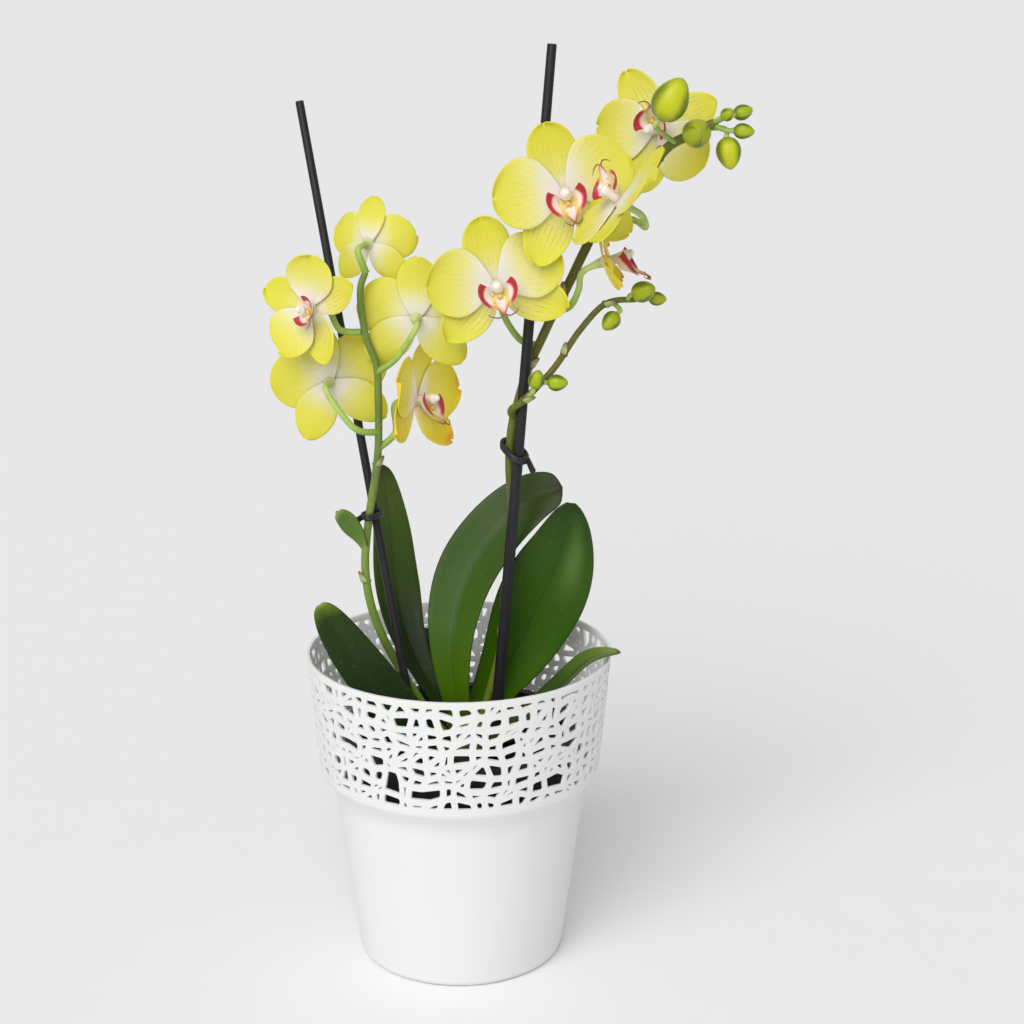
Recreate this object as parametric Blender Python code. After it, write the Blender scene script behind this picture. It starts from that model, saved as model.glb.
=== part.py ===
"""Potted moth orchid with two staked flower stalks in a white openwork cover pot.

Lengths in the tables below are in millimetres and are turned into metres by
mm(). +Z is up and the origin is at the middle of the pot's base.
"""
import math

import bmesh
import bpy
from mathutils import Euler, Matrix, Vector

for old in list(bpy.data.objects):
    bpy.data.objects.remove(old)

# ---------------------------------------------------------------- dimensions

GAP = 0.3  # clearance between touching pieces
SLIVER = 0.03  # triangles thinner than this are merged away

POT = {
    "base_radius": 51.0,
    "body_top_radius": 62.0,
    "body_height": 83.0,
    "ledge_height": 88.0,
    "collar_bottom": 99.0,
    "collar_bottom_radius": 69.7,
    "band_bottom": 154.0,
    "height": 158.0,
    "rim_radius": 75.0,
    "wall": 2.2,
    "sides": 32,
    "lace_rows": 3,
    "lace_margin": 3.0,
    "lace_strut": 2.6,
}

GROW_POT = {
    "base_radius": 42.0,
    "top_radius": 54.5,
    "rim_radius": 58.0,
    "height": 118.0,
    "flange": 4.0,
    "wall": 1.2,
    "sides": 28,
    "drain_inner": 24.0,
    "drain_outer": 31.0,
    "drain_every": 4,
}

BARK = {"top": 99.0, "sides": 24, "lump": 1.8, "clearance": 0.5}

CROWN = {"centre": (3.0, 9.0), "radius": 6.5, "bottom": 86.0, "top": 126.0}

STAKES = {
    "stake_left": {"foot": (-6.5, -25.0, 30.0), "top": (-75.0, 35.0, 421.0), "radii": (2.2, 2.0)},
    "stake_right": {"foot": (11.0, 0.0, 30.0), "top": (44.2, 0.0, 449.0), "radii": (3.1, 2.2)},
}

# Each leaf follows a spine from the crown to its tip. "face" is the way its
# upper side looks at the base and at the tip.
LEAVES = {
    "leaf_upper_left": {
        "spine": ((3, 7, 112), (-2, 1, 132), (-4, 3, 158), (-1, 10, 180), (7, 16, 199),
                  (21, 20, 217), (36, 23, 229), (51, 24, 234)),
        "width": 31, "face": ((-0.3, -1, 0.1), (-0.35, -1, 0.5)), "fold": 0.28,
    },
    "leaf_upper_right": {
        "spine": ((5, 10, 112), (17, 14, 132), (28, 14.5, 152), (37, 14.5, 172), (45, 14, 190),
                  (51, 13.5, 208), (55, 12, 229)),
        "width": 43, "face": ((0.1, -1, 0.2), (0.1, -1, 0.15)), "fold": 0.16,
    },
    "leaf_tall_left": {
        "spine": ((0, 10, 110), (-14, 14, 132), (-27, 22, 158), (-33, 30, 185), (-35, 34, 212),
                  (-39, 38, 242)),
        "width": 25, "face": ((0.2, -1, 0.1), (0.75, -1, 0.0)), "fold": 0.3,
    },
    "leaf_low_left": {
        "spine": ((1, 4, 104), (-10, -12, 112), (-25, -21, 129), (-40, -24, 149), (-55, -23, 170),
                  (-66, -22, 188)),
        "width": 23, "face": ((0.2, -1, 0.4), (0.2, -1, 0.35)), "fold": 0.2,
    },
    "leaf_low_right": {
        "spine": ((5, 4, 104), (15, -12, 112), (32, -18, 129), (48, -20, 146), (63, -19, 160),
                  (78, -17, 163)),
        "width": 21, "face": ((-0.5, -0.3, 1), (-0.2, 0.1, 1)), "fold": 0.3,
    },
    "leaf_low_back": {
        "spine": ((1, 11, 108), (-7, 24, 124), (-16, 36, 140), (-25, 44, 152)),
        "width": 24, "face": ((0.1, -1, 0.6), (0.1, -1, 0.4)), "fold": 0.25,
    },
    "bract_leaf": {
        "spine": ((-45, -6, 211), (-47.5, -8, 217), (-50.5, -9.5, 222.5), (-54, -10.5, 227.5),
                  (-58, -11, 231)),
        "width": 9, "face": ((-0.4, -1, 0.3), (-0.2, -1, 0.5)), "fold": 0.3,
    },
}

STALKS = {
    "stalk_left": {
        "route": ((-2, 7, 104), (-12, 4, 117), (-22, 1, 134), (-31, -1, 151), (-38, -6, 168),
                  (-43, -9, 186), (-45, -8, 205), (-43.2, 0.4, 226), (-40, 1, 245), (-38, -1, 262),
                  (-37.5, -3, 285), (-38, -4, 301), (-43, -4, 316), (-45, -4, 336), (-42, -4, 346)),
        "radii": (2.2, 1.6),
    },
    "stalk_right": {
        "route": ((7, 7, 108), (14, 7, 130), (22, 7, 165), (26, 6.2, 215), (24.8, 4, 250),
                  (25.8, 3.8, 268), (28.8, 5.6, 281), (34, 7.5, 298), (40, 5, 312), (46, 1, 326),
                  (53, 0, 340), (60, 0, 355), (69, 0, 372), (84, -3, 384), (96, -7, 402),
                  (107, -10, 409), (119, -11, 415)),
        "radii": (2.0, 2.3),
    },
}

SIDE_BRANCH = {
    "route": ((26.6, 4.4, 274), (25.6, -1.6, 279), (31, -5.4, 284), (38, -4.8, 291), (47, -3, 301),
              (58, -4, 318), (70, -6, 331), (84, -7, 333)),
    "radii": (1.8, 1.4),
}

# Open flowers. "centre" is where the five tepals meet, "yaw" turns the flower
# about +Z (0 looks along -Y, positive to +X), "pitch" lifts it, "lean" rolls it
# to its own right, "spread" is how far round its side sepals stand, "span" is its
# width across the petals and "cup" how far the tepals reach forward. "sepal_cup" is
# for side sepals that reach further, "lip" for a lip larger than the span asks for.
FLOWERS = {
    "left_1": {
        "centre": (-41, 7, 357), "yaw": 158, "pitch": -5, "lean": 0, "spread": 132,
        "span": 44, "cup": 0.22, "stalk": "stalk_left",
        "pedicel": ((-42, -4, 345),),
    },
    "left_2": {
        "centre": (-68, -9, 329), "yaw": -25, "pitch": 5, "lean": 70, "spread": 132,
        "span": 51, "cup": 0.1, "stalk": "stalk_left",
        "pedicel": ((-45, -4, 317), (-55, -3, 318)),
    },
    "left_3": {
        "centre": (-61, 6, 291), "yaw": 174, "pitch": 0, "lean": -17, "spread": 139,
        "span": 60, "cup": 0.06, "stalk": "stalk_left",
        "pedicel": ((-38, -1.5, 268), (-49, -9, 272)),
    },
    "left_4": {
        "centre": (-19, -1, 323), "yaw": 182, "pitch": 0, "lean": 2, "spread": 132,
        "span": 58, "cup": 0.06, "stalk": "stalk_left",
        "pedicel": ((-37.5, -4, 298), (-28, -10, 306)),
    },
    "left_5": {
        "centre": (-19.8, 7, 282), "yaw": 63, "pitch": 5, "lean": -14, "spread": 125,
        "span": 61, "cup": 0.18, "stalk": "stalk_left",
        "pedicel": ((-38, -1, 260), (-30, 3, 267)),
    },
    "right_1": {
        "centre": (19, -15, 341), "yaw": 3, "pitch": 2, "lean": 14, "spread": 123,
        "span": 66, "cup": 0.06, "stalk": "stalk_right",
        "pedicel": ((39, 5.5, 309), (30, 8, 311), (22, 3, 324)),
    },
    "right_2": {
        "centre": (50, -20, 384), "yaw": 2, "pitch": 0, "lean": 18, "spread": 140,
        "span": 67, "cup": 0.06, "stalk": "stalk_right",
        "pedicel": ((62, 0, 360), (56, -6, 370)),
    },
    "right_3": {
        "centre": (94, 17, 409), "yaw": -28, "pitch": 8, "lean": 165, "spread": 131,
        "span": 61, "cup": 0.02, "stalk": "stalk_right",
        "pedicel": ((84, -3, 384), (96, 14, 384), (103, 31, 394)),
    },
    "right_4": {
        "centre": (73, -51.5, 384), "yaw": -78, "pitch": 40, "lean": -136, "spread": 126,
        "span": 57, "cup": 0.04, "stalk": "stalk_right",
        "pedicel": ((68, 0, 370), (79, -10, 371), (84.5, -32, 370)),
    },
    "right_5": {
        "centre": (69.6, -11, 351.5), "yaw": 86, "pitch": 14, "lean": 0, "spread": 132,
        "span": 38, "cup": 0.04, "sepal_cup": 0.35, "lip": 66, "stalk": "stalk_right",
        "pedicel": ((46, 1, 326), (53, -4, 329), (57, -9, 338)),
    },
}

# Closed buds: middle, the way the tip points, length and thickness, and the
# point of the stalk that carries the bud.
BUDS = {
    "bud_top_1": {"centre": (96.5, -25, 426), "tip": (0.3, -0.2, 0.9), "size": (22, 15),
                  "stalk": "stalk_right", "from": (101, -8.5, 405)},
    "bud_top_2": {"centre": (109, -24, 411), "tip": (0.15, -1, 0.2), "size": (16, 13),
                  "stalk": "stalk_right", "from": (107, -10, 409)},
    "bud_top_3": {"centre": (123, -19, 419), "tip": (0.5, -0.9, 0.4), "size": (8, 6),
                  "stalk": "stalk_right", "from": (115, -10.6, 413)},
    "bud_top_4": {"centre": (131, -8, 419), "tip": (1, 0.3, 0.25), "size": (10, 7.2),
                  "stalk": "stalk_right", "from": (118, -10.8, 414.6)},
    "bud_top_5": {"centre": (131, -14, 411), "tip": (1, -0.2, -0.05), "size": (10, 7.2),
                  "stalk": "stalk_right", "from": (117, -11.2, 413.6)},
    "bud_top_6": {"centre": (124.5, -13, 401), "tip": (0.15, -0.2, -0.95), "size": (15.5, 11.5),
                  "stalk": "stalk_right", "from": (113, -10.4, 412)},
    "bud_branch_1": {"centre": (87, -14, 338), "tip": (0.75, -0.6, 0.35), "size": (13, 10),
                     "stalk": "stalk_right", "from": (80, -7, 333)},
    "bud_branch_2": {"centre": (94, -5, 333), "tip": (1, 0.1, -0.1), "size": (9, 6.6),
                     "stalk": "stalk_right", "from": (83, -6.8, 333)},
    "bud_branch_3": {"centre": (72, -9, 323), "tip": (-0.5, -0.4, -0.5), "size": (11, 8.4),
                     "stalk": "stalk_right", "from": (73, -6, 331.5)},
    "bud_low_1": {"centre": (37.5, -11.5, 296), "tip": (0.25, -0.4, 0.9), "size": (10.5, 7.6),
                  "stalk": "stalk_right", "from": (33, -5.2, 286)},
    "bud_low_2": {"centre": (47.5, -10, 294), "tip": (1, -0.3, 0.05), "size": (10.5, 8),
                  "stalk": "stalk_right", "from": (39, -4.8, 292)},
}

# A clip goes round the points of a stalk and a stake at one height, "reach" away
# from them.
CLIPS = {
    "clip_left": {"around": ((-43.2, 0.4, 226), (-40.8, 5.1, 226)), "reach": 3.3, "wire": 0.9,
                  "tail": (-49.5, -2, 224)},
    "clip_right": {"around": ((25.4, 3.9, 259.5), (28.9, 0.0, 256.5)), "reach": 4.5, "wire": 0.9,
                   "tail": (36, -6, 250)},
}


def mm(*values):
    return Vector(values) * 0.001


# ----------------------------------------------------------------- materials

def material(name, colour, roughness, metallic=0.0):
    made = bpy.data.materials.new(name)
    made.use_nodes = True
    shader = made.node_tree.nodes["Principled BSDF"]
    shader.inputs["Base Color"].default_value = (*colour, 1)
    shader.inputs["Roughness"].default_value = roughness
    shader.inputs["Metallic"].default_value = metallic
    return made


WHITE_PLASTIC = material("white_plastic", (0.85, 0.85, 0.84), 0.4)
DARK_PLASTIC = material("dark_plastic", (0.03, 0.03, 0.03), 0.5)
BARK_CHIPS = material("bark_chips", (0.12, 0.06, 0.03), 0.9)
STAKE_FINISH = material("stake_plastic", (0.03, 0.03, 0.035), 0.55)
LEAF_GREEN = material("leaf_green", (0.05, 0.13, 0.02), 0.35)
STALK_GREEN = material("stalk_green", (0.18, 0.26, 0.06), 0.45)
PETAL_YELLOW = material("petal_yellow", (0.8, 0.75, 0.08), 0.5)
LIP_RED = material("lip_red", (0.55, 0.05, 0.07), 0.45)
BUD_GREEN = material("bud_green", (0.35, 0.45, 0.05), 0.4)


# --------------------------------------------------------------- mesh helpers

def new_object(name, mesh, finish):
    piece = bpy.data.objects.new(name, mesh)
    bpy.context.scene.collection.objects.link(piece)
    mesh.materials.clear()
    mesh.materials.append(finish)
    return piece


def from_bmesh(name, bm, finish):
    mesh = bpy.data.meshes.new(name)
    bmesh.ops.recalc_face_normals(bm, faces=bm.faces)
    bm.to_mesh(mesh)
    bm.free()
    mesh.shade_smooth()
    mesh.set_sharp_from_angle(angle=math.radians(40))
    return new_object(name, mesh, finish)


def baked(piece):
    """The piece with its modifiers or its curve turned into a plain mesh."""
    graph = bpy.context.evaluated_depsgraph_get()
    mesh = bpy.data.meshes.new_from_object(piece.evaluated_get(graph))
    plain = new_object(piece.name + "_plain", mesh, piece.data.materials[0])
    plain.matrix_world = piece.matrix_world
    name = piece.name
    bpy.data.objects.remove(piece)
    plain.name = name
    mesh.name = name
    return plain


def combined(body, tools, operation):
    """Unites body with the tools, or cuts them out of it, and removes them."""
    for tool in tools:
        step = body.modifiers.new("step", "BOOLEAN")
        step.operation = operation
        step.object = tool
        bpy.context.view_layer.update()
        body = baked(body)
        bpy.data.objects.remove(tool)
    without_slivers(body.data)
    return body


def without_slivers(mesh):
    """Merges the hair-thin triangles that a union or a cut leaves where faces nearly meet."""
    bm = bmesh.new()
    bm.from_mesh(mesh)
    bmesh.ops.triangulate(bm, faces=bm.faces)
    for _ in range(2):
        bmesh.ops.dissolve_degenerate(bm, dist=SLIVER * 0.001, edges=bm.edges)
        bmesh.ops.triangulate(bm, faces=bm.faces)
    bm.to_mesh(mesh)
    bm.free()


def turned(name, profile, sides, finish):
    """A closed round solid from a profile of (radius, height) points in mm."""
    bm = bmesh.new()
    verts = [bm.verts.new(mm(radius, 0, height)) for radius, height in profile]
    edges = [bm.edges.new(pair) for pair in zip(verts, verts[1:])]
    bmesh.ops.spin(bm, geom=verts + edges, cent=(0, 0, 0), axis=(0, 0, 1),
                   angle=math.tau, steps=sides, use_merge=True)
    bmesh.ops.remove_doubles(bm, verts=bm.verts, dist=1e-6)
    return from_bmesh(name, bm, finish)


def aim(direction):
    """The rotation that turns +Z towards a direction."""
    return Vector(direction).to_track_quat("Z", "Y").to_matrix().to_4x4()


def tube(name, route, radii, finish, sides=8, closed=False):
    """A round stem along a smooth route in mm, tapering from radii[0] to radii[1]."""
    curve = bpy.data.curves.new(name, "CURVE")
    curve.dimensions = "3D"
    curve.resolution_u = 2
    curve.bevel_depth = 0.001
    curve.bevel_resolution = sides // 2 - 2
    curve.use_fill_caps = not closed
    spline = curve.splines.new("BEZIER")
    spline.bezier_points.add(len(route) - 1)
    spline.use_cyclic_u = closed
    for place, (knot, point) in enumerate(zip(spline.bezier_points, route)):
        share = place / (len(route) - 1)
        knot.co = mm(*point)
        knot.handle_left_type = "AUTO"
        knot.handle_right_type = "AUTO"
        knot.radius = radii[0] + (radii[1] - radii[0]) * share
    piece = bpy.data.objects.new(name, curve)
    bpy.context.scene.collection.objects.link(piece)
    curve.materials.append(finish)
    bpy.context.view_layer.update()
    return baked(piece)


def between(points, share):
    """A point on the smooth line through the points, at a share of its length."""
    place = share * (len(points) - 1)
    first = min(int(place), len(points) - 2)
    local = place - first
    p = [Vector(points[min(max(first + step, 0), len(points) - 1)]) for step in (-1, 0, 1, 2)]
    return 0.5 * (2 * p[1] + (p[2] - p[0]) * local
                  + (2 * p[0] - 5 * p[1] + 4 * p[2] - p[3]) * local ** 2
                  + (3 * p[1] - p[0] - 3 * p[2] + p[3]) * local ** 3)


# ----------------------------------------------------------------------- pots

def cover_pot():
    """One skin from the base up to the rim, opened into lace, then thickened."""
    rows = POT["lace_rows"]
    sides = POT["sides"]
    low, high = POT["collar_bottom"] + POT["lace_margin"], POT["band_bottom"]
    flare = POT["rim_radius"] - POT["collar_bottom_radius"]
    slope = flare / (POT["height"] - POT["collar_bottom"])
    collar = [low + (high - low) * row / rows for row in range(rows + 1)]
    profile = [(0, 0), (POT["base_radius"] - 2, 0), (POT["base_radius"], 2)]
    profile += [(POT["body_top_radius"], POT["body_height"])]
    profile += [(POT["body_top_radius"] + 1.5, POT["ledge_height"])]
    profile += [(POT["collar_bottom_radius"], POT["collar_bottom"])]
    profile += [(POT["rim_radius"] - slope * (POT["height"] - z), z) for z in collar]
    profile += [(POT["rim_radius"], POT["height"])]
    pot = turned("cover_pot", profile, sides, WHITE_PLASTIC)
    bm = bmesh.new()
    bm.from_mesh(pot.data)
    half_turn = Matrix.Rotation(math.pi / sides, 4, "Z")
    for row in range(1, rows, 2):
        ring = [v for v in bm.verts if abs(v.co.z - collar[row] * 0.001) < 1e-5]
        bmesh.ops.transform(bm, matrix=half_turn, verts=ring)
    cells = [f for f in bm.faces if low * 0.001 < f.calc_center_median().z < high * 0.001]
    half_strut = POT["lace_strut"] / 2 * 0.001
    bmesh.ops.inset_individual(bm, faces=cells, thickness=half_strut, use_even_offset=True)
    bmesh.ops.delete(bm, geom=cells, context="FACES")
    bmesh.ops.recalc_face_normals(bm, faces=bm.faces)
    bm.to_mesh(pot.data)
    bm.free()
    wall = pot.modifiers.new("wall", "SOLIDIFY")
    wall.thickness = POT["wall"] * 0.001
    wall.offset = -1
    return pot


def grow_pot():
    foot = POT["wall"] + GAP
    top = GROW_POT["height"]
    profile = [(0, foot), (GROW_POT["drain_inner"], foot), (GROW_POT["drain_outer"], foot)]
    profile += [(GROW_POT["base_radius"] - 2, foot), (GROW_POT["base_radius"], foot + 2)]
    profile += [(GROW_POT["top_radius"], top - 1), (GROW_POT["rim_radius"] - 1, top)]
    profile += [(GROW_POT["rim_radius"], top - 1), (GROW_POT["rim_radius"], top - GROW_POT["flange"])]
    pot = turned("grow_pot", profile, GROW_POT["sides"], DARK_PLASTIC)
    bm = bmesh.new()
    bm.from_mesh(pot.data)
    inner, outer = GROW_POT["drain_inner"] * 0.001, GROW_POT["drain_outer"] * 0.001
    step = math.tau / GROW_POT["sides"]
    drains = []
    for face in bm.faces:
        place = face.calc_center_median()
        side = round(math.atan2(place.y, place.x) / step - 0.5)
        if inner < place.xy.length < outer and side % GROW_POT["drain_every"] == 0:
            drains.append(face)
    bmesh.ops.delete(bm, geom=drains, context="FACES")
    bm.to_mesh(pot.data)
    bm.free()
    wall = pot.modifiers.new("wall", "SOLIDIFY")
    wall.thickness = GROW_POT["wall"] * 0.001
    wall.offset = 1  # the skin faces inwards, so the wall is added on its inner side
    return pot


def bark_mix():
    """The potting bark, lumpy on top, with sockets for the stem and the stakes."""
    foot = POT["wall"] + GAP + GROW_POT["wall"] + GAP
    room = GROW_POT["wall"] + BARK["clearance"]
    lower = GROW_POT["base_radius"] - room - 1
    flare = GROW_POT["top_radius"] - GROW_POT["base_radius"]
    upper = lower + flare * (BARK["top"] - 3) / GROW_POT["height"]
    profile = [(0, foot), (lower - 2, foot), (lower, foot + 2), (upper, BARK["top"] - 3)]
    profile += [(radius, BARK["top"]) for radius in (upper - 3, 38, 26, 14)] + [(0, BARK["top"])]
    bark = turned("bark_mix", profile, BARK["sides"], BARK_CHIPS)
    for vert in bark.data.vertices:
        if vert.co.z > (BARK["top"] - 1) * 0.001:
            wave = math.sin(vert.co.x * 190) * math.cos(vert.co.y * 230 + 1)
            vert.co.z += BARK["lump"] * 0.001 * wave
    sockets = [socket(stake["foot"], stake["top"], max(stake["radii"])) for stake in STAKES.values()]
    x, y = CROWN["centre"]
    sockets.append(socket((x, y, CROWN["bottom"]), (x, y, CROWN["top"]), CROWN["radius"]))
    return combined(bark, sockets, "DIFFERENCE")


def socket(foot, top, radius):
    """A round cutter that leaves a gap round a stick and below its foot."""
    axis = (Vector(top) - Vector(foot)).normalized()
    start = Vector(foot) - axis * GAP
    length = POT["height"]
    wide = (radius + GAP) * 0.001
    bm = bmesh.new()
    bmesh.ops.create_cone(bm, cap_ends=True, segments=12, radius1=wide, radius2=wide, depth=length * 0.001)
    place = Matrix.Translation(mm(*(start + axis * length / 2))) @ aim(axis)
    bmesh.ops.transform(bm, matrix=place, verts=bm.verts)
    return from_bmesh("socket", bm, BARK_CHIPS)


# --------------------------------------------------------------- stem, leaves

def crown(name="crown", grow=0.0):
    """The short stem of the plant; grow makes the cutter that clears room for it."""
    r = CROWN["radius"] + grow
    low, high = CROWN["bottom"] - grow, CROWN["top"] + grow
    profile = [(0, low), (r * 0.8, low), (r, low + 5), (r, high - 8), (r * 0.75, high - 2), (0, high)]
    stem = turned(name, profile, 14, STALK_GREEN)
    stem.data.transform(Matrix.Translation(mm(*CROWN["centre"], 0)))
    return stem


def blade_width(share):
    """How wide a strap leaf is along its length, as a share of its widest."""
    rise = 0.32 + 0.68 * math.sin(min(share / 0.6, 1) * math.pi / 2) ** 1.5
    fall = math.sqrt(max(1 - max((share - 0.55) / 0.45, 0) ** 2.2, 0.0))
    return max(rise * fall, 0.14)


def leaf(name, shape, across=4, along=9, thickness=2.0):
    bm = bmesh.new()
    bmesh.ops.create_grid(bm, x_segments=across, y_segments=along, size=1)
    base_face, tip_face = (Vector(face) for face in shape["face"])
    for vert in bm.verts:
        side, share = vert.co.x, (vert.co.y + 1) / 2
        centre = between(shape["spine"], share)
        run = between(shape["spine"], min(share + 0.02, 1)) - between(shape["spine"], max(share - 0.02, 0))
        face = base_face.lerp(tip_face, share)
        right = run.cross(face).normalized()
        normal = right.cross(run).normalized()
        half = shape["width"] * blade_width(share) / 2
        fold = shape["fold"] * (1 - 0.5 * share)
        vert.co = mm(*(centre + right * side * half + normal * abs(side) ** 1.5 * half * fold))
    bmesh.ops.recalc_face_normals(bm, faces=bm.faces)
    bmesh.ops.solidify(bm, geom=bm.faces, thickness=thickness * 0.001)
    return from_bmesh(name, bm, LEAF_GREEN)


# -------------------------------------------------------------------- flowers

# Tepals: length and widest width as a share of the flower's span, how blunt the
# outline is, and how wide it already is at the hub, as a share of its length.
TOP_SEPAL = {"length": 0.50, "width": 0.32, "blunt": 0.75, "waist": 0.12}
SIDE_SEPAL = {"length": 0.53, "width": 0.33, "blunt": 0.75, "waist": 0.12}
PETAL = {"length": 0.50, "width": 0.47, "blunt": 0.62, "waist": 0.1}
PETAL_TURN = 76
TEPAL = {"root": 1.3, "thickness": 1.0, "narrowest": 0.2, "trough": 0.06}
HUB = {"radius": 3.0, "front": -2.2, "back": 3.2, "seat": 0.5}


def tepal_ring(flower):
    """Each tepal's kind, its turn from the top one and how far forward it starts."""
    spread = flower["spread"]
    return ((TOP_SEPAL, 0, -0.9), (PETAL, PETAL_TURN, 0.8), (PETAL, -PETAL_TURN, 0.9),
            (SIDE_SEPAL, spread, -0.8), (SIDE_SEPAL, -spread, -1.0))


def tepal_width(share, kind):
    bulge = math.sin(math.pi * min(kind["waist"] + share * 0.85, 1))
    return max(bulge ** kind["blunt"], TEPAL["narrowest"])


def tepal(flower, kind, turn, start):
    """One sepal or petal, standing out from the hub and facing -Y."""
    span = flower["span"]
    cup = flower.get("sepal_cup", flower["cup"]) if kind is SIDE_SEPAL else flower["cup"]
    bm = bmesh.new()
    bmesh.ops.create_grid(bm, x_segments=2, y_segments=3, size=1)
    length, half = kind["length"] * span - TEPAL["root"], kind["width"] * span / 2
    for vert in bm.verts:
        side, share = vert.co.x, (vert.co.y + 1) / 2
        forward = start + cup * length * share ** 1.6 + TEPAL["trough"] * length * side ** 2 * share
        vert.co = mm(side * half * tepal_width(share, kind), -forward, TEPAL["root"] + length * share)
    bmesh.ops.recalc_face_normals(bm, faces=bm.faces)
    bmesh.ops.solidify(bm, geom=bm.faces, thickness=TEPAL["thickness"] * 0.001)
    bmesh.ops.transform(bm, matrix=Matrix.Rotation(math.radians(turn), 4, "Y"), verts=bm.verts)
    return from_bmesh("tepal", bm, PETAL_YELLOW)


def placement(flower):
    angles = (-flower["pitch"], -flower["lean"], flower["yaw"])
    turn = Euler([math.radians(angle) for angle in angles], "YXZ")
    return Matrix.Translation(mm(*flower["centre"])) @ turn.to_matrix().to_4x4()


def tepals(name, flower):
    """Five tepals grown together at the hub, where the pedicel ends."""
    bm = bmesh.new()
    bmesh.ops.create_cone(bm, cap_ends=True, segments=8, radius1=HUB["radius"] * 0.001,
                          radius2=HUB["radius"] * 0.0008, depth=(HUB["back"] - HUB["front"]) * 0.001)
    middle = Matrix.Translation(mm(0, (HUB["back"] + HUB["front"]) / 2, 0))
    bmesh.ops.transform(bm, matrix=middle @ Matrix.Rotation(-math.pi / 2, 4, "X"), verts=bm.verts)
    hub = from_bmesh(name, bm, PETAL_YELLOW)
    piece = combined(hub, [tepal(flower, *place) for place in tepal_ring(flower)], "UNION")
    piece.matrix_world = placement(flower)
    return piece


# The lip of a flower LIP["for_span"] wide; the others are scaled from it.
LIP = {
    "for_span": 64.0, "column_radii": (2.2, 2.6), "column_length": 9.0,
    "start": 1.6, "reach": 8.5, "top": -2.0, "drop": 7.5, "throat": 3.2, "belly": 4.2,
    "lobe_rise": 7.5, "edge_rise": 1.5, "wall": 1.2,
}


def lip(name, flower):
    """The column and, below it, the lip with its two upright side lobes."""
    root, tip = (radius * 0.001 for radius in LIP["column_radii"])
    length = LIP["column_length"] * 0.001
    bm = bmesh.new()
    bmesh.ops.create_cone(bm, cap_ends=True, segments=8, radius1=root, radius2=tip, depth=length)
    forward = Matrix.Translation((0, -length / 2, 0)) @ Matrix.Rotation(math.pi / 2, 4, "X")
    bmesh.ops.transform(bm, matrix=forward, verts=bm.verts)
    column = from_bmesh(name, bm, LIP_RED)
    bm = bmesh.new()
    bmesh.ops.create_grid(bm, x_segments=4, y_segments=3, size=1)
    for vert in bm.verts:
        side, share = vert.co.x, (vert.co.y + 1) / 2
        belly = LIP["belly"] * math.sin(math.pi * min(share * 1.3, 1))
        half = (LIP["throat"] + belly) * (1 - 0.75 * share ** 2)
        rise = (LIP["lobe_rise"] * (1 - share) + LIP["edge_rise"]) * side ** 2
        ahead = LIP["start"] + LIP["reach"] * share - LIP["edge_rise"] * side ** 2
        vert.co = mm(side * half, -ahead, LIP["top"] + rise - LIP["drop"] * share ** 1.4)
    bmesh.ops.recalc_face_normals(bm, faces=bm.faces)
    bmesh.ops.solidify(bm, geom=bm.faces, thickness=LIP["wall"] * 0.001)
    trough = from_bmesh("trough", bm, LIP_RED)
    piece = combined(column, [trough], "UNION")
    size = Matrix.Scale(flower.get("lip", flower["span"]) / LIP["for_span"], 4)
    piece.data.transform(Matrix.Translation(mm(0, HUB["front"] - GAP, 0)) @ size)
    piece.matrix_world = placement(flower)
    return piece


def pedicel(flower):
    """The flower's own stem, from the stalk to the back of the hub."""
    place = placement(flower)
    bend = place @ mm(0, HUB["back"] + 9, -2.5) / 0.001
    end = place @ mm(0, HUB["back"] + HUB["seat"], 0) / 0.001
    return tube("pedicel", (*flower["pedicel"], bend, end), (1.6, 1.4), STALK_GREEN, sides=6)


# ----------------------------------------------------------------------- buds

def bud(name, shape):
    length, thick = shape["size"]
    r = thick / 2
    profile = [(0, 0), (r * 0.62, length * 0.1), (r, length * 0.38), (r * 0.93, length * 0.62),
               (r * 0.5, length * 0.9), (0, length)]
    piece = turned(name, profile, 8, BUD_GREEN)
    piece.data.transform(Matrix.Translation(mm(0, 0, -length / 2)))
    piece.matrix_world = Matrix.Translation(mm(*shape["centre"])) @ aim(shape["tip"])
    return piece


def bud_stem(shape):
    """The short stem that ends just behind the bud's round end."""
    tip = Vector(shape["tip"]).normalized()
    end = Vector(shape["centre"]) - tip * (shape["size"][0] / 2 + GAP)
    start = Vector(shape["from"])
    bend = end - tip * min((end - start).length * 0.45, 4)
    return tube("bud_stem", (start, bend, end), (1.2, 1.1), STALK_GREEN, sides=4)


# -------------------------------------------------------------- stakes, clips

def stake(name, shape):
    """A straight round stick with a short pointed foot."""
    foot, top = Vector(shape["foot"]), Vector(shape["top"])
    length = (top - foot).length
    low, high = shape["radii"]
    profile = [(0, 0), (low * 0.3, 0.4), (low, 9), (high, length - 0.6), (high - 0.6, length), (0, length)]
    piece = turned(name, profile, 12, STAKE_FINISH)
    piece.matrix_world = Matrix.Translation(mm(*foot)) @ aim(top - foot)
    return piece


def clip(name, shape):
    """A wire loop round a stalk and its stake, with a tail that sticks out."""
    a, b = (Vector(end) for end in shape["around"])
    along = (b - a).normalized()
    across = along.cross(Vector((0, 0, 1))).normalized()
    route = []
    for end, start in ((b, -math.pi / 2), (a, math.pi / 2)):
        for step in range(5):
            angle = start + math.pi * step / 4
            route.append(end + (along * math.cos(angle) + across * math.sin(angle)) * shape["reach"])
    loop = tube(name, route, (shape["wire"], shape["wire"]), DARK_PLASTIC, sides=6, closed=True)
    tail = tube("tail", (b - across * shape["reach"], shape["tail"]), (1.2, 1.5), DARK_PLASTIC, sides=6)
    return combined(loop, [tail], "UNION")


# ------------------------------------------------------------------- assembly

cover_pot()
grow_pot()
bark_mix()

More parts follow.
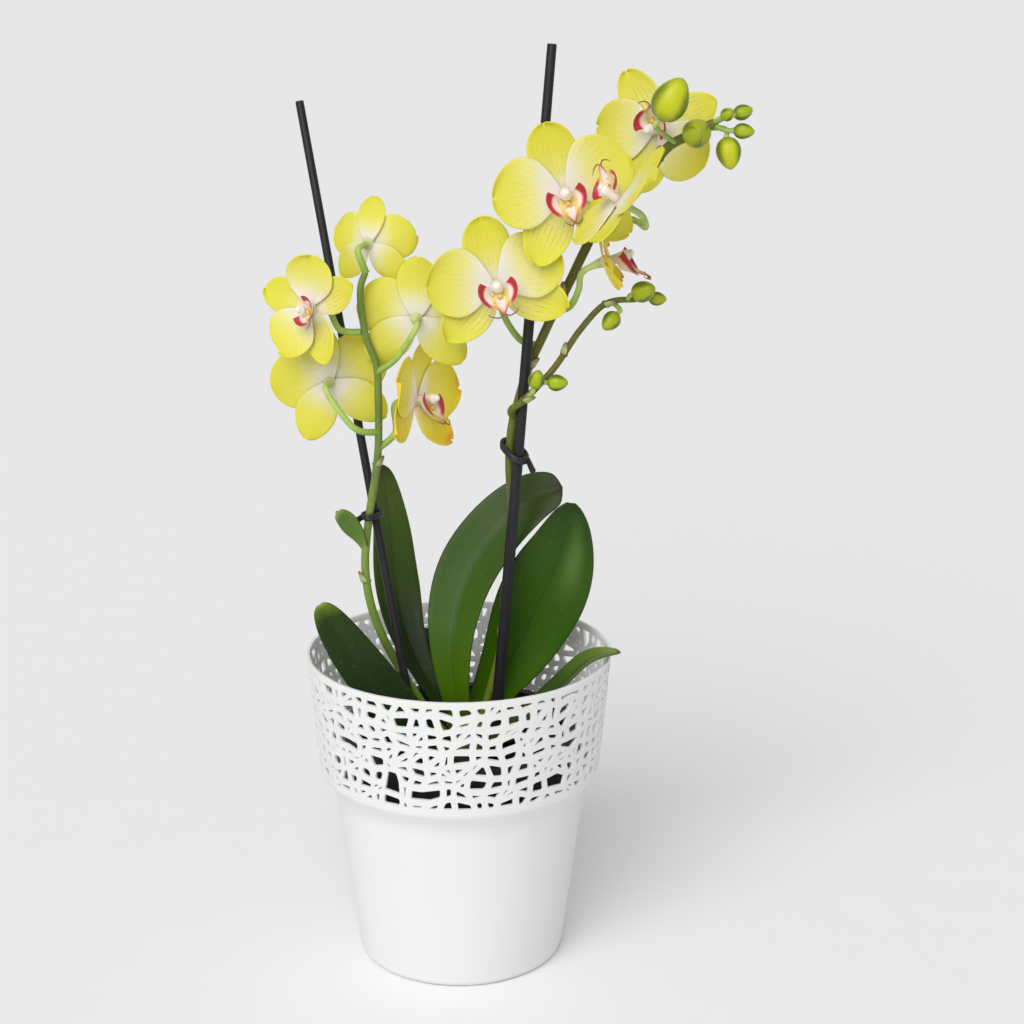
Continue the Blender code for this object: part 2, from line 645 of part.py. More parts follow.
for stake_name, stake_shape in STAKES.items():
    stake(stake_name, stake_shape)

for leaf_name, leaf_shape in LEAVES.items():
    blade = leaf(leaf_name, leaf_shape)
    if leaf_name == "bract_leaf":
        room = tube("room", STALKS["stalk_left"]["route"], (2.5, 2.0), LEAF_GREEN)
    else:
        room = crown("room", GAP)
    combined(blade, [room], "DIFFERENCE")
crown()

for flower_name, flower_shape in FLOWERS.items():
    tepals("tepals_" + flower_name, flower_shape)
    lip("lip_" + flower_name, flower_shape)

for bud_name, bud_shape in BUDS.items():
    bud(bud_name, bud_shape)

for stalk_name, stalk_shape in STALKS.items():
    stems = [pedicel(flower) for flower in FLOWERS.values() if flower["stalk"] == stalk_name]
    if stalk_name == "stalk_right":
        stems.append(tube("side_branch", SIDE_BRANCH["route"], SIDE_BRANCH["radii"], STALK_GREEN))
    stems += [bud_stem(shape) for shape in BUDS.values() if shape["stalk"] == stalk_name]
    stalk = tube(stalk_name, stalk_shape["route"], stalk_shape["radii"], STALK_GREEN)
    stalk = combined(stalk, stems, "UNION")
    combined(stalk, [crown("room", GAP)], "DIFFERENCE")

for clip_name, clip_shape in CLIPS.items():
    clip(clip_name, clip_shape)
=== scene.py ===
import math
import random

import bmesh
import bpy
from mathutils import Euler, Matrix, Vector, noise


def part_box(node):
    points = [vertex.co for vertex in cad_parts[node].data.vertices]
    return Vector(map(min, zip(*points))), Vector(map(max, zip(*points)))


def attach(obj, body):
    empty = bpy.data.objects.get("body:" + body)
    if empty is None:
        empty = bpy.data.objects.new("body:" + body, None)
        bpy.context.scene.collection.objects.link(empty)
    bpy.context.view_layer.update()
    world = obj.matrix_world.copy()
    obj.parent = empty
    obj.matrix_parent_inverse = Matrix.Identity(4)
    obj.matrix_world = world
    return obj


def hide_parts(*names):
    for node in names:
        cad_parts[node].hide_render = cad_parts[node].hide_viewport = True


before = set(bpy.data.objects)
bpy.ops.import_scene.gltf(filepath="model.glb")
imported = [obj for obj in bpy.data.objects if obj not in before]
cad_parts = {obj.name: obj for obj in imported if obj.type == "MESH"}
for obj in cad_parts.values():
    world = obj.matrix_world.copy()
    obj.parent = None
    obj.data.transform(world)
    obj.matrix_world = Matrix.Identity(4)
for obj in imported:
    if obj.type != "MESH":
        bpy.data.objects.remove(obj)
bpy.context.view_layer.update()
scene = bpy.context.scene
print("frame loaded,", len(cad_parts), "nodes")


def ink(red, green, blue):  # a colour as it is seen, from 0 to 255
    seen = [value / 255 for value in (red, green, blue)]
    return tuple(value / 12.92 if value < 0.04 else ((value + 0.055) / 1.055) ** 2.4 for value in seen)


# camera, light and floor
view = {"place": (0.026, -0.932, 0.49), "lookDown": 15.7, "lens": 70.3, "sensor": 36, "farthest": 100}
light = {
    "keyFrom": (-0.42, -1.1, 0.9), "keyPower": 2.1, "keySoftness": 48,
    "worldColour": (1.0, 1.0, 1.0), "worldPower": 0.5,
    "floorColour": ink(244, 244, 244), "floorSize": 30, "floorSides": 64, "backdrop": ink(235, 235, 235),
}


def setCamera():
    lens = bpy.data.cameras.new("camera")
    lens.lens = view["lens"]
    lens.sensor_width = view["sensor"]
    lens.clip_end = view["farthest"]
    eye = bpy.data.objects.new("camera", lens)
    eye.location = view["place"]
    eye.rotation_euler = (math.radians(90 - view["lookDown"]), 0, 0)
    scene.collection.objects.link(eye)
    scene.camera = eye


def setLight():
    lamp = bpy.data.lights.new("key", "SUN")
    lamp.energy = light["keyPower"]
    lamp.angle = math.radians(light["keySoftness"])
    key = bpy.data.objects.new("key", lamp)
    key.rotation_euler = Vector(light["keyFrom"]).to_track_quat("Z", "Y").to_euler()
    scene.collection.objects.link(key)
    world = bpy.data.worlds.new("studio")
    world.use_nodes = True
    scene.world = world
    tree = world.node_tree
    tree.nodes.clear()
    soft = tree.nodes.new("ShaderNodeBackground")
    soft.inputs["Color"].default_value = (*light["worldColour"], 1)
    soft.inputs["Strength"].default_value = light["worldPower"]
    shown = tree.nodes.new("ShaderNodeBackground")
    shown.inputs["Color"].default_value = (*light["backdrop"], 1)
    path = tree.nodes.new("ShaderNodeLightPath")
    pick = tree.nodes.new("ShaderNodeMixShader")
    out = tree.nodes.new("ShaderNodeOutputWorld")
    tree.links.new(path.outputs["Is Camera Ray"], pick.inputs["Fac"])
    tree.links.new(soft.outputs[0], pick.inputs[1])
    tree.links.new(shown.outputs[0], pick.inputs[2])
    tree.links.new(pick.outputs[0], out.inputs["Surface"])
    scene.view_settings.view_transform = "Standard"


# small helpers for node materials: shader() starts one, and wire() adds a node
def shader(name, roughness, **settings):
    material = bpy.data.materials.new(name)
    material.use_nodes = True
    tree = material.node_tree
    surface = tree.nodes["Principled BSDF"]
    surface.inputs["Roughness"].default_value = roughness
    for socket, value in settings.items():
        surface.inputs[socket.replace("_", " ")].default_value = value
    return material, tree, surface


def wire(tree, kind, output=0, settings=(), **sockets):  # sockets go by name, or by number as i0, i1
    made = tree.nodes.new("ShaderNode" + kind)
    for key, value in dict(settings).items():
        setattr(made, key, value)
    for key, value in sockets.items():
        socket = made.inputs[int(key[1:])] if key[1:].isdigit() else made.inputs[key.replace("_", " ")]
        if isinstance(value, bpy.types.NodeSocket):
            tree.links.new(value, socket)
        else:
            socket.default_value = value
    return made.outputs[output]


def maths(tree, operation, *values):
    sockets = {"i" + str(place): value for place, value in enumerate(values)}
    return wire(tree, "Math", settings={"operation": operation}, **sockets)


def ramp(tree, factor, stops):  # stops are (position, seen colour) pairs
    made = tree.nodes.new("ShaderNodeValToRGB")
    points = made.color_ramp.elements
    points.remove(points[1])
    points[0].position = stops[0][0]
    points[0].color = (*ink(*stops[0][1]), 1)
    for position, seen in stops[1:]:
        points.new(position).color = (*ink(*seen), 1)
    tree.links.new(factor, made.inputs["Fac"])
    return made.outputs["Color"]


def blendColours(tree, factor, first, second):
    made = tree.nodes.new("ShaderNodeMix")
    made.data_type = "RGBA"
    for socket, value in ((made.inputs[0], factor), (made.inputs[6], first), (made.inputs[7], second)):
        if isinstance(value, bpy.types.NodeSocket):
            tree.links.new(value, socket)
        else:
            socket.default_value = (*value, 1)
    return made.outputs[2]


def tinted(tree, tone, mask, amount, seen):  # some of a seen colour over a tone, where the mask is 1
    return blendColours(tree, maths(tree, "MULTIPLY", mask, amount), tone, ink(*seen))


# noise on object coordinates, from 0 to 1
def speckle(tree, scale, detail=3, roughness=0.55, stretch=(1, 1, 1)):
    place = wire(tree, "TexCoord", output=3)
    place = wire(tree, "Mapping", Vector=place, Scale=stretch)
    return wire(tree, "TexNoise", Vector=place, Scale=scale, Detail=detail, Roughness=roughness)


def surfaceSpot(tree):  # the piece's own map: across it and along it, from 0 to 1
    split = tree.nodes.new("ShaderNodeSeparateXYZ")
    tree.links.new(wire(tree, "TexCoord", output=2), split.inputs[0])
    return split.outputs[0], split.outputs[1]


def apart(tree, value, middle):
    return maths(tree, "ABSOLUTE", maths(tree, "SUBTRACT", value, middle))


def drifting(tree, value, pattern, amount):  # a value pushed up and down by a pattern
    return maths(tree, "ADD", value, maths(tree, "MULTIPLY", maths(tree, "SUBTRACT", pattern, 0.5), amount))


def rise(tree, value, low, high):  # 0 below low and 1 above high
    return wire(tree, "MapRange", settings={"interpolation_type": "SMOOTHSTEP"}, Value=value,
                From_Min=low, From_Max=high)


def fade(tree, value, end):  # 1 at 0, fading to 0 at the end
    return wire(tree, "MapRange", settings={"interpolation_type": "SMOOTHSTEP"}, Value=value,
                From_Max=end, To_Min=1.0, To_Max=0.0)


def band(tree, value, middle, width):  # 1 at the middle, fading to 0 at the width
    return fade(tree, apart(tree, value, middle), width)


def stripes(tree, value, count, width):  # thin lines, count of them from 0 to 1
    wave = maths(tree, "SINE", maths(tree, "MULTIPLY", value, count * math.pi))
    return fade(tree, maths(tree, "ABSOLUTE", wave), width)


def coloured(tree, surface, tone):
    tree.links.new(tone, surface.inputs["Base Color"])


def relief(tree, surface, height, strength, distance):
    bump = wire(tree, "Bump", Height=height, Strength=strength, Distance=distance)
    tree.links.new(bump, surface.inputs["Normal"])


def varied(tree, surface, factor, low, high):  # roughness that follows a pattern
    spread = wire(tree, "MapRange", Value=factor, To_Min=low, To_Max=high)
    tree.links.new(spread, surface.inputs["Roughness"])


setCamera()
setLight()


# floor
def layFloor():
    bm = bmesh.new()
    bmesh.ops.create_circle(bm, cap_ends=True, segments=light["floorSides"], radius=light["floorSize"])
    mesh = bpy.data.meshes.new("floor")
    bm.to_mesh(mesh)
    bm.free()
    floor = bpy.data.objects.new("floor", mesh)
    scene.collection.objects.link(floor)
    paper, tree, surface = shader("floor_paper", 0.85)
    grain = speckle(tree, 35, detail=2)
    fibre = [value * 0.99 for value in light["floorColour"]]
    coloured(tree, surface, blendColours(tree, grain, light["floorColour"], fibre))
    mesh.materials.append(paper)


layFloor()
print("camera, light and floor set")


# modelling helpers; all lengths are in millimetres until asPiece() makes them metres
def asPiece(bm, name, finishes, sharp=40, smooth=0):
    bmesh.ops.scale(bm, vec=(0.001, 0.001, 0.001), verts=bm.verts)
    mesh = bpy.data.meshes.new(name)
    bm.to_mesh(mesh)
    bm.free()
    for finish in finishes:
        mesh.materials.append(finish)
    mesh.shade_smooth()
    mesh.set_sharp_from_angle(angle=math.radians(sharp))
    piece = bpy.data.objects.new(name, mesh)
    scene.collection.objects.link(piece)
    if smooth:
        rounding = piece.modifiers.new("rounding", "SUBSURF")
        rounding.levels = smooth
        rounding.render_levels = smooth
    return piece


def standsFor(piece, slot, *nodes):
    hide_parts(*nodes)
    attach(piece, "root")


# the point at a share of the way along the smooth line through some points, where each
# stretch between two points is as much of the way as any other
def between(points, share):
    place = min(max(share, 0), 1) * (len(points) - 1)
    first = min(int(place), len(points) - 2)
    local = place - first
    p = [Vector(points[min(max(first + step, 0), len(points) - 1)]) for step in (-1, 0, 1, 2)]
    return 0.5 * (2 * p[1] + (p[2] - p[0]) * local
                  + (2 * p[0] - 5 * p[1] + 4 * p[2] - p[3]) * local ** 2
                  + (3 * p[1] - p[0] - 3 * p[2] + p[3]) * local ** 3)


def ease(low, high, value):  # 0 below low and 1 above high, with a smooth step between
    share = min(max((value - low) / (high - low), 0), 1)
    return share * share * (3 - 2 * share)


def taper(first, last, swell=0.0):  # a radius for strand(), which may swell at the far end
    return lambda share: first + (last - first) * share + swell * ease(0.85, 1, share)


# a grid bent into shape: place and mark take side from -1 to 1 and share from 0 to 1
def sheet(bm, across, along, place, mark=None, finish=0):
    made = bmesh.ops.create_grid(bm, x_segments=across, y_segments=along, size=1)["verts"]
    spots = {vert: (vert.co.x, (vert.co.y + 1) / 2) for vert in made}
    faces = list({face: True for vert in made for face in vert.link_faces})
    layer = bm.loops.layers.uv.verify()
    for face in faces:
        face.material_index = finish
        for loop in face.loops:
            side, share = spots[loop.vert]
            loop[layer].uv = mark(side, share) if mark else (side / 2 + 0.5, share)
    for vert, (side, share) in spots.items():
        vert.co = place(side, share)
    return faces


# gives a sheet its thickness behind its front, with the new back in a finish of its own
def thicken(bm, faces, thickness, back):
    bm.normal_update()
    made = bmesh.ops.solidify(bm, geom=faces, thickness=thickness)["geom"]
    for item in made:
        if isinstance(item, bmesh.types.BMFace):
            item.material_index = back


# merges a bent sheet's meeting edges and fills what stays open
def sealed(bm, faces, finish):
    verts = list({vert: True for face in faces for vert in face.verts})
    bmesh.ops.remove_doubles(bm, verts=verts, dist=0.002)
    edges = [edge for vert in verts if vert.is_valid for edge in vert.link_edges if edge.is_boundary]
    edges = list(dict.fromkeys(edges))
    for face in bmesh.ops.holes_fill(bm, edges=edges, sides=0)["faces"]:
        face.material_index = finish


# a round strand along a smooth route; radius is a function of the share of the way
def strand(bm, route, radius, sides=10, steps=24, finish=0):
    frames = []
    up = None
    for step in range(steps + 1):
        share = step / steps
        ahead = (between(route, share + 0.005) - between(route, share - 0.005)).normalized()
        up = ahead.orthogonal() if up is None else up - ahead * up.dot(ahead)
        up = up.normalized()
        frames.append((between(route, share), up, ahead.cross(up)))

    def place(side, share):
        centre, first, second = frames[round(share * steps)]
        turn = side * math.pi
        return centre + (first * math.cos(turn) + second * math.sin(turn)) * radius(share)

    sealed(bm, sheet(bm, sides, steps, place, finish=finish), finish)


# an egg-like bead that points along its matrix's Z; swell gives its radius by share
def bead(bm, matrix, length, swell, sides=12, steps=10, finish=0):
    def place(side, share):
        turn = side * math.pi
        radius = swell(share, turn)
        return matrix @ Vector((radius * math.cos(turn), radius * math.sin(turn), length * share))

    sealed(bm, sheet(bm, sides, steps, place, finish=finish), finish)


# a round shape from (radius, height) points
def turned(profile, sides):
    bm = bmesh.new()
    verts = [bm.verts.new((radius, 0, height)) for radius, height in profile]
    edges = [bm.edges.new(pair) for pair in zip(verts, verts[1:])]
    bmesh.ops.spin(bm, geom=verts + edges, cent=(0, 0, 0), axis=(0, 0, 1), angle=math.tau,
                   steps=sides, use_merge=True)
    bmesh.ops.remove_doubles(bm, verts=bm.verts, dist=0.001)
    bmesh.ops.recalc_face_normals(bm, faces=bm.faces)
    return bm


# turns Z to a direction, with X as near as it can be to the other one
def aimed(place, direction, towards=(0, -1, 0.15)):
    ahead = Vector(direction).normalized()
    side = (Vector(towards) - ahead * Vector(towards).dot(ahead)).normalized()
    turn = Matrix((side, ahead.cross(side), ahead)).transposed()
    return Matrix.Translation(place) @ turn.to_4x4()


# cover pot: jitter is in cells of the lace, halved and merged are shares of its cells and edges,
# strut is how far a hole stands in from its cell and corner how much of its shortest side is
# rounded off; below has the (radius, height) points from the lace down to the base
pot = {
    "height": 158, "rimRadius": 75, "collarLow": 99, "collarLowRadius": 69.7, "wall": 1.4,
    "laceLow": 101.5, "laceHigh": 156.2, "columns": 62, "rows": 9, "jitter": 0.37,
    "halved": 0.25, "merged": 0.04, "strut": (1.2, 1.85), "mostInset": 0.6, "corner": (0.15, 0.48),
    "soft": 0.3, "softFrom": 50, "white": (231, 231, 230), "shade": (226, 227, 226),
    "below": ((69.8, 100), (69.6, 98.6), (68.6, 97.2), (64.4, 92), (62.7, 88), (62, 83),
              (58.6, 57), (55.2, 31), (51.7, 4), (50.7, 1.2), (48.8, 0), (40, 0), (20, 0)),
}


def potFinish():
    material, tree, surface = shader("pot_white", 0.42, Specular_IOR_Level=0.4, Subsurface_Weight=0.3,
                                     Subsurface_Scale=0.003, Subsurface_Radius=(1, 1, 1))
    cloud = speckle(tree, 14, detail=2)
    coloured(tree, surface, blendColours(tree, cloud, ink(*pot["white"]), ink(*pot["shade"])))
    varied(tree, surface, speckle(tree, 60), 0.36, 0.5)
    relief(tree, surface, speckle(tree, 900, detail=2), 0.06, 0.0003)
    return material


def collarRadius(height):
    climb = (height - pot["collarLow"]) / (pot["height"] - pot["collarLow"])
    return pot["collarLowRadius"] + (pot["rimRadius"] - pot["collarLowRadius"]) * climb


# shakes a grid of columns and rows, alike at its two ends, which meet round the collar
def shakeGrid(bm, columns, rows, draw):
    shake = {}
    for vert in sorted(bm.verts, key=lambda vert: (round(vert.co.y, 4), round(vert.co.x, 4))):
        column = round((vert.co.x + 1) / 2 * columns)
        row = round((vert.co.y + 1) / 2 * rows)
        if (column % columns, row) not in shake:
            shake[column % columns, row] = [draw.uniform(-1, 1) * pot["jitter"] for _ in range(2)]
        right, up = shake[column % columns, row]
        vert.co.x = column + right
        vert.co.y = row + (up if 0 < row < rows else 0)


# halves some cells of the grid by either diagonal and merges some others with a neighbour
def mixCells(bm, draw):
    halved = [face for face in bm.faces if draw.random() < pot["halved"]]
    whole = [edge for edge in bm.edges
             if not edge.is_boundary and not any(face in halved for face in edge.link_faces)]
    merged, used = [], set()
    for edge in whole:
        if draw.random() < pot["merged"] and not used & set(edge.link_faces):
            merged.append(edge)
            used |= set(edge.link_faces)
    for method in ("FIXED", "ALTERNATE"):
        share = [face for face in halved if face.is_valid and draw.random() < 0.5]
        bmesh.ops.triangulate(bm, faces=share, quad_method=method)
    bmesh.ops.dissolve_edges(bm, edges=merged, use_verts=False)


# opens a hole with rounded corners in one cell
def openCell(bm, cell, draw):
    room = 2 * cell.calc_area() / cell.calc_perimeter()
    inset = min(draw.uniform(*pot["strut"]), room * pot["mostInset"])
    bmesh.ops.inset_individual(bm, faces=[cell], thickness=inset, use_even_offset=True)
    shortest = min(edge.calc_length() for edge in cell.edges)
    eased = bmesh.ops.bevel(bm, geom=list(cell.verts), offset=shortest * draw.uniform(*pot["corner"]),
                            affect="VERTICES", segments=2, profile=0.5, material=-1, clamp_overlap=True)
    rim = set(eased["verts"])
    hole = [face for vert in rim for face in vert.link_faces if rim.issuperset(face.verts)]
    hole = [face for face in dict.fromkeys(hole) if face not in eased["faces"]]
    bmesh.ops.delete(bm, geom=hole, context="FACES")


# the collar's lace: a shaken grid whose cells are mixed and opened, wrapped round the pot
def laceStrip(draw):
    bm = bmesh.new()
    columns, rows = pot["columns"], pot["rows"]
    bmesh.ops.create_grid(bm, x_segments=columns, y_segments=rows, size=1)
    shakeGrid(bm, columns, rows, draw)
    mixCells(bm, draw)
    length = math.tau * collarRadius((pot["laceLow"] + pot["laceHigh"]) / 2)
    tall = pot["laceHigh"] - pot["laceLow"]
    bmesh.ops.scale(bm, verts=bm.verts, vec=(length / columns, tall / rows, 1))
    for cell in list(bm.faces):
        openCell(bm, cell, draw)
    for vert in bm.verts:
        height = pot["laceLow"] + vert.co.y
        turn = vert.co.x / length * math.tau
        radius = collarRadius(height)
        vert.co = Vector((radius * math.sin(turn), -radius * math.cos(turn), height))
    bmesh.ops.remove_doubles(bm, verts=bm.verts, dist=0.01)
    return bm


def rimEdges(bm, height):
    return [edge for edge in bm.edges if edge.is_boundary
            and all(abs(vert.co.z - height) < 0.01 for vert in edge.verts)]


# carries an open edge on to another height and radius, and gives the new edge
def carriedOn(bm, edges, radius, height):
    made = bmesh.ops.extrude_edge_only(bm, edges=edges)["geom"]
    for vert in (item for item in made if isinstance(item, bmesh.types.BMVert)):
        flat = vert.co.xy.normalized() * radius
        vert.co = Vector((flat.x, flat.y, height))
    return [item for item in made if isinstance(item, bmesh.types.BMEdge) and item.is_boundary]


def makePot():
    bm = laceStrip(random.Random(11))
    carriedOn(bm, rimEdges(bm, pot["laceHigh"]), pot["rimRadius"], pot["height"])
    edges = rimEdges(bm, pot["laceLow"])
    for radius, height in pot["below"]:
        edges = carriedOn(bm, edges, radius, height)
    bmesh.ops.holes_fill(bm, edges=edges, sides=0)
    bmesh.ops.recalc_face_normals(bm, faces=bm.faces)
    piece = asPiece(bm, "cover_pot_lace", [potFinish()])
    walled = piece.modifiers.new("walled", "SOLIDIFY")
    walled.thickness = pot["wall"] * 0.001
    walled.offset = -1
    softened = piece.modifiers.new("softened", "BEVEL")
    softened.width = pot["soft"] * 0.001
    softened.segments = 2
    softened.limit_method = "ANGLE"
    softened.angle_limit = math.radians(pot["softFrom"])
    standsFor(piece, "pot", "cover_pot")


makePot()
print("cover pot made")


# the plastic grow pot that stands inside: base has (radius, height) points above its foot and
# rim has them from its top down, holes are the drain holes cut between two radii
growPot = {
    "base": ((0, 1.2), (26, 1.2), (30, 0), (40, 0), (42, 2)),
    "rim": ((54.5, -4), (54.5, -1.2), (57.5, -0.4), (58, -1), (58, -4)),
    "holes": 6, "holesFrom": 31, "holesTo": 39, "holeWidth": 0.75, "wall": 1.0, "sides": 72,
    "tones": ((0.3, (34, 35, 36)), (0.7, (52, 53, 54))),
}


def growPotFinish():
    material, tree, surface = shader("grow_pot_plastic", 0.38)
    haze = speckle(tree, 40, detail=4, roughness=0.7)
    coloured(tree, surface, ramp(tree, haze, growPot["tones"]))
    varied(tree, surface, haze, 0.3, 0.5)
    relief(tree, surface, speckle(tree, 500), 0.08, 0.0003)
    return material


def makeGrowPot():
    low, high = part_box("grow_pot")
    top, foot = high.z * 1000, low.z * 1000
    profile = [(radius, foot + up) for radius, up in growPot["base"]]
    profile += [(radius, top + up) for radius, up in growPot["rim"]]
    bm = turned(profile, growPot["sides"])
    holes = []
    for face in bm.faces:
        middle = face.calc_center_median().xy
        wave = math.sin(growPot["holes"] * math.atan2(*middle))
        if growPot["holesFrom"] < middle.length < growPot["holesTo"] and wave > growPot["holeWidth"]:
            holes.append(face)
    bmesh.ops.delete(bm, geom=holes, context="FACES")
    bmesh.ops.solidify(bm, geom=bm.faces, thickness=growPot["wall"])
    standsFor(asPiece(bm, "grow_pot_turned", [growPotFinish()]), "grow_pot", "grow_pot")


# its bark: rings are the radii of the uneven top, and a chip's width and depth are shares of
# its length; layer is how high the chips lie over the top, dent how far their corners move
bark = {
    "top": 99, "foot": ((0, 0), (36, 0), (39, 2)), "shoulder": (49, -3),
    "rings": (47, 42, 37, 31, 25, 19, 13, 7, 0), "sides": 40, "lump": 3.08, "lumpScale": 0.11,
    "chips": 260, "chipLength": (3.0, 8.5), "chipWidth": (0.45, 0.8), "chipDepth": (0.22, 0.4),
    "chipTilt": (-0.6, 0.6), "reach": 44, "layer": 6, "dent": (0.72, 1.12),
    "tones": ((0.3, (24, 17, 12)), (0.55, (58, 40, 28)), (0.75, (96, 68, 46))), "damp": (34, 25, 19),
}


def barkFinish():
    material, tree, surface = shader("bark_chips", 0.9)
    grain = speckle(tree, 260, detail=5, roughness=0.65, stretch=(1, 1, 3.5))
    patch = speckle(tree, 55, detail=2)
    tone = ramp(tree, grain, bark["tones"])
    coloured(tree, surface, blendColours(tree, patch, tone, ink(*bark["damp"])))
    relief(tree, surface, grain, 0.7, 0.0012)
    return material


def makeBark(draw):
    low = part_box("bark_mix")[0].z * 1000
    bed = bark["top"] - 1
    profile = [(radius, low + up) for radius, up in bark["foot"]]
    profile += [(bark["shoulder"][0], bark["top"] + bark["shoulder"][1])]
    profile += [(radius, bed) for radius in bark["rings"]]
    bm = turned(profile, bark["sides"])
    for vert in bm.verts:
        if vert.co.z > bed - 1:
            vert.co.z += noise.noise(vert.co * bark["lumpScale"]) * bark["lump"]
    for _ in range(bark["chips"]):
        chip = bmesh.ops.create_icosphere(bm, subdivisions=1, radius=1)["verts"]
        length = draw.uniform(*bark["chipLength"])
        reach = bark["reach"] * math.sqrt(draw.random())
        turn = draw.uniform(0, math.tau)
        width, depth = (length * draw.uniform(*bark[side]) for side in ("chipWidth", "chipDepth"))
        tilt, roll = (draw.uniform(*bark["chipTilt"]) for _ in range(2))
        spin = Euler((tilt, roll, draw.uniform(0, math.tau))).to_matrix().to_4x4()
        height = bed + draw.uniform(0, bark["layer"])
        for vert in chip:
            vert.co *= draw.uniform(*bark["dent"])
        place = Matrix.Translation((reach * math.cos(turn), reach * math.sin(turn), height))
        shape = Matrix.Diagonal((length, width, depth, 1))
        bmesh.ops.transform(bm, matrix=place @ spin @ shape, verts=chip)
    standsFor(asPiece(bm, "bark_bed", [barkFinish()], sharp=24), "bark", "bark_mix")


makeGrowPot()
makeBark(random.Random(5))
print("grow pot and bark made")


# stakes, and the finish of their rods: point has (share of the radius, height) points, and top
# has (how far in, how far down) ones
stakes = {
    "stake_left": {"foot": (-6.5, -25, 30), "top": (-75, 35, 421), "radii": (2.2, 2.0)},
    "stake_right": {"foot": (11, 0, 30), "top": (44.2, 0, 449), "radii": (3.1, 2.2)},
}
rod = {
    "point": ((0, 0), (0.3, 0.4), (0.8, 6), (1, 10)), "top": ((0, 0.5), (0.15, 0.15), (0.5, 0)),
    "sides": 28, "tones": ((0.3, (20, 20, 22)), (0.7, (31, 31, 34))),
}


def stakeFinish():
    material, tree, surface = shader("stake_dark", 0.5, Specular_IOR_Level=0.35)
    streak = speckle(tree, 300, detail=4, roughness=0.6, stretch=(1, 1, 0.05))
    coloured(tree, surface, ramp(tree, streak, rod["tones"]))
    varied(tree, surface, streak, 0.42, 0.6)
    relief(tree, surface, streak, 0.25, 0.0004)
    return material


def makeStakes():
    finish = stakeFinish()
    for name, shape in stakes.items():
        foot, top = Vector(shape["foot"]), Vector(shape["top"])
        length = (top - foot).length
        low, high = shape["radii"]
        profile = [(low * share, up) for share, up in rod["point"]] + [((low + high) / 2, length / 2)]
        profile += [(high - inward, length - down) for inward, down in rod["top"]] + [(0, length)]
        bm = turned(profile, rod["sides"])
        bm.transform(aimed(foot, top - foot))
        standsFor(asPiece(bm, name + "_rod", [finish]), "stake", name)


makeStakes()
print("stakes made")


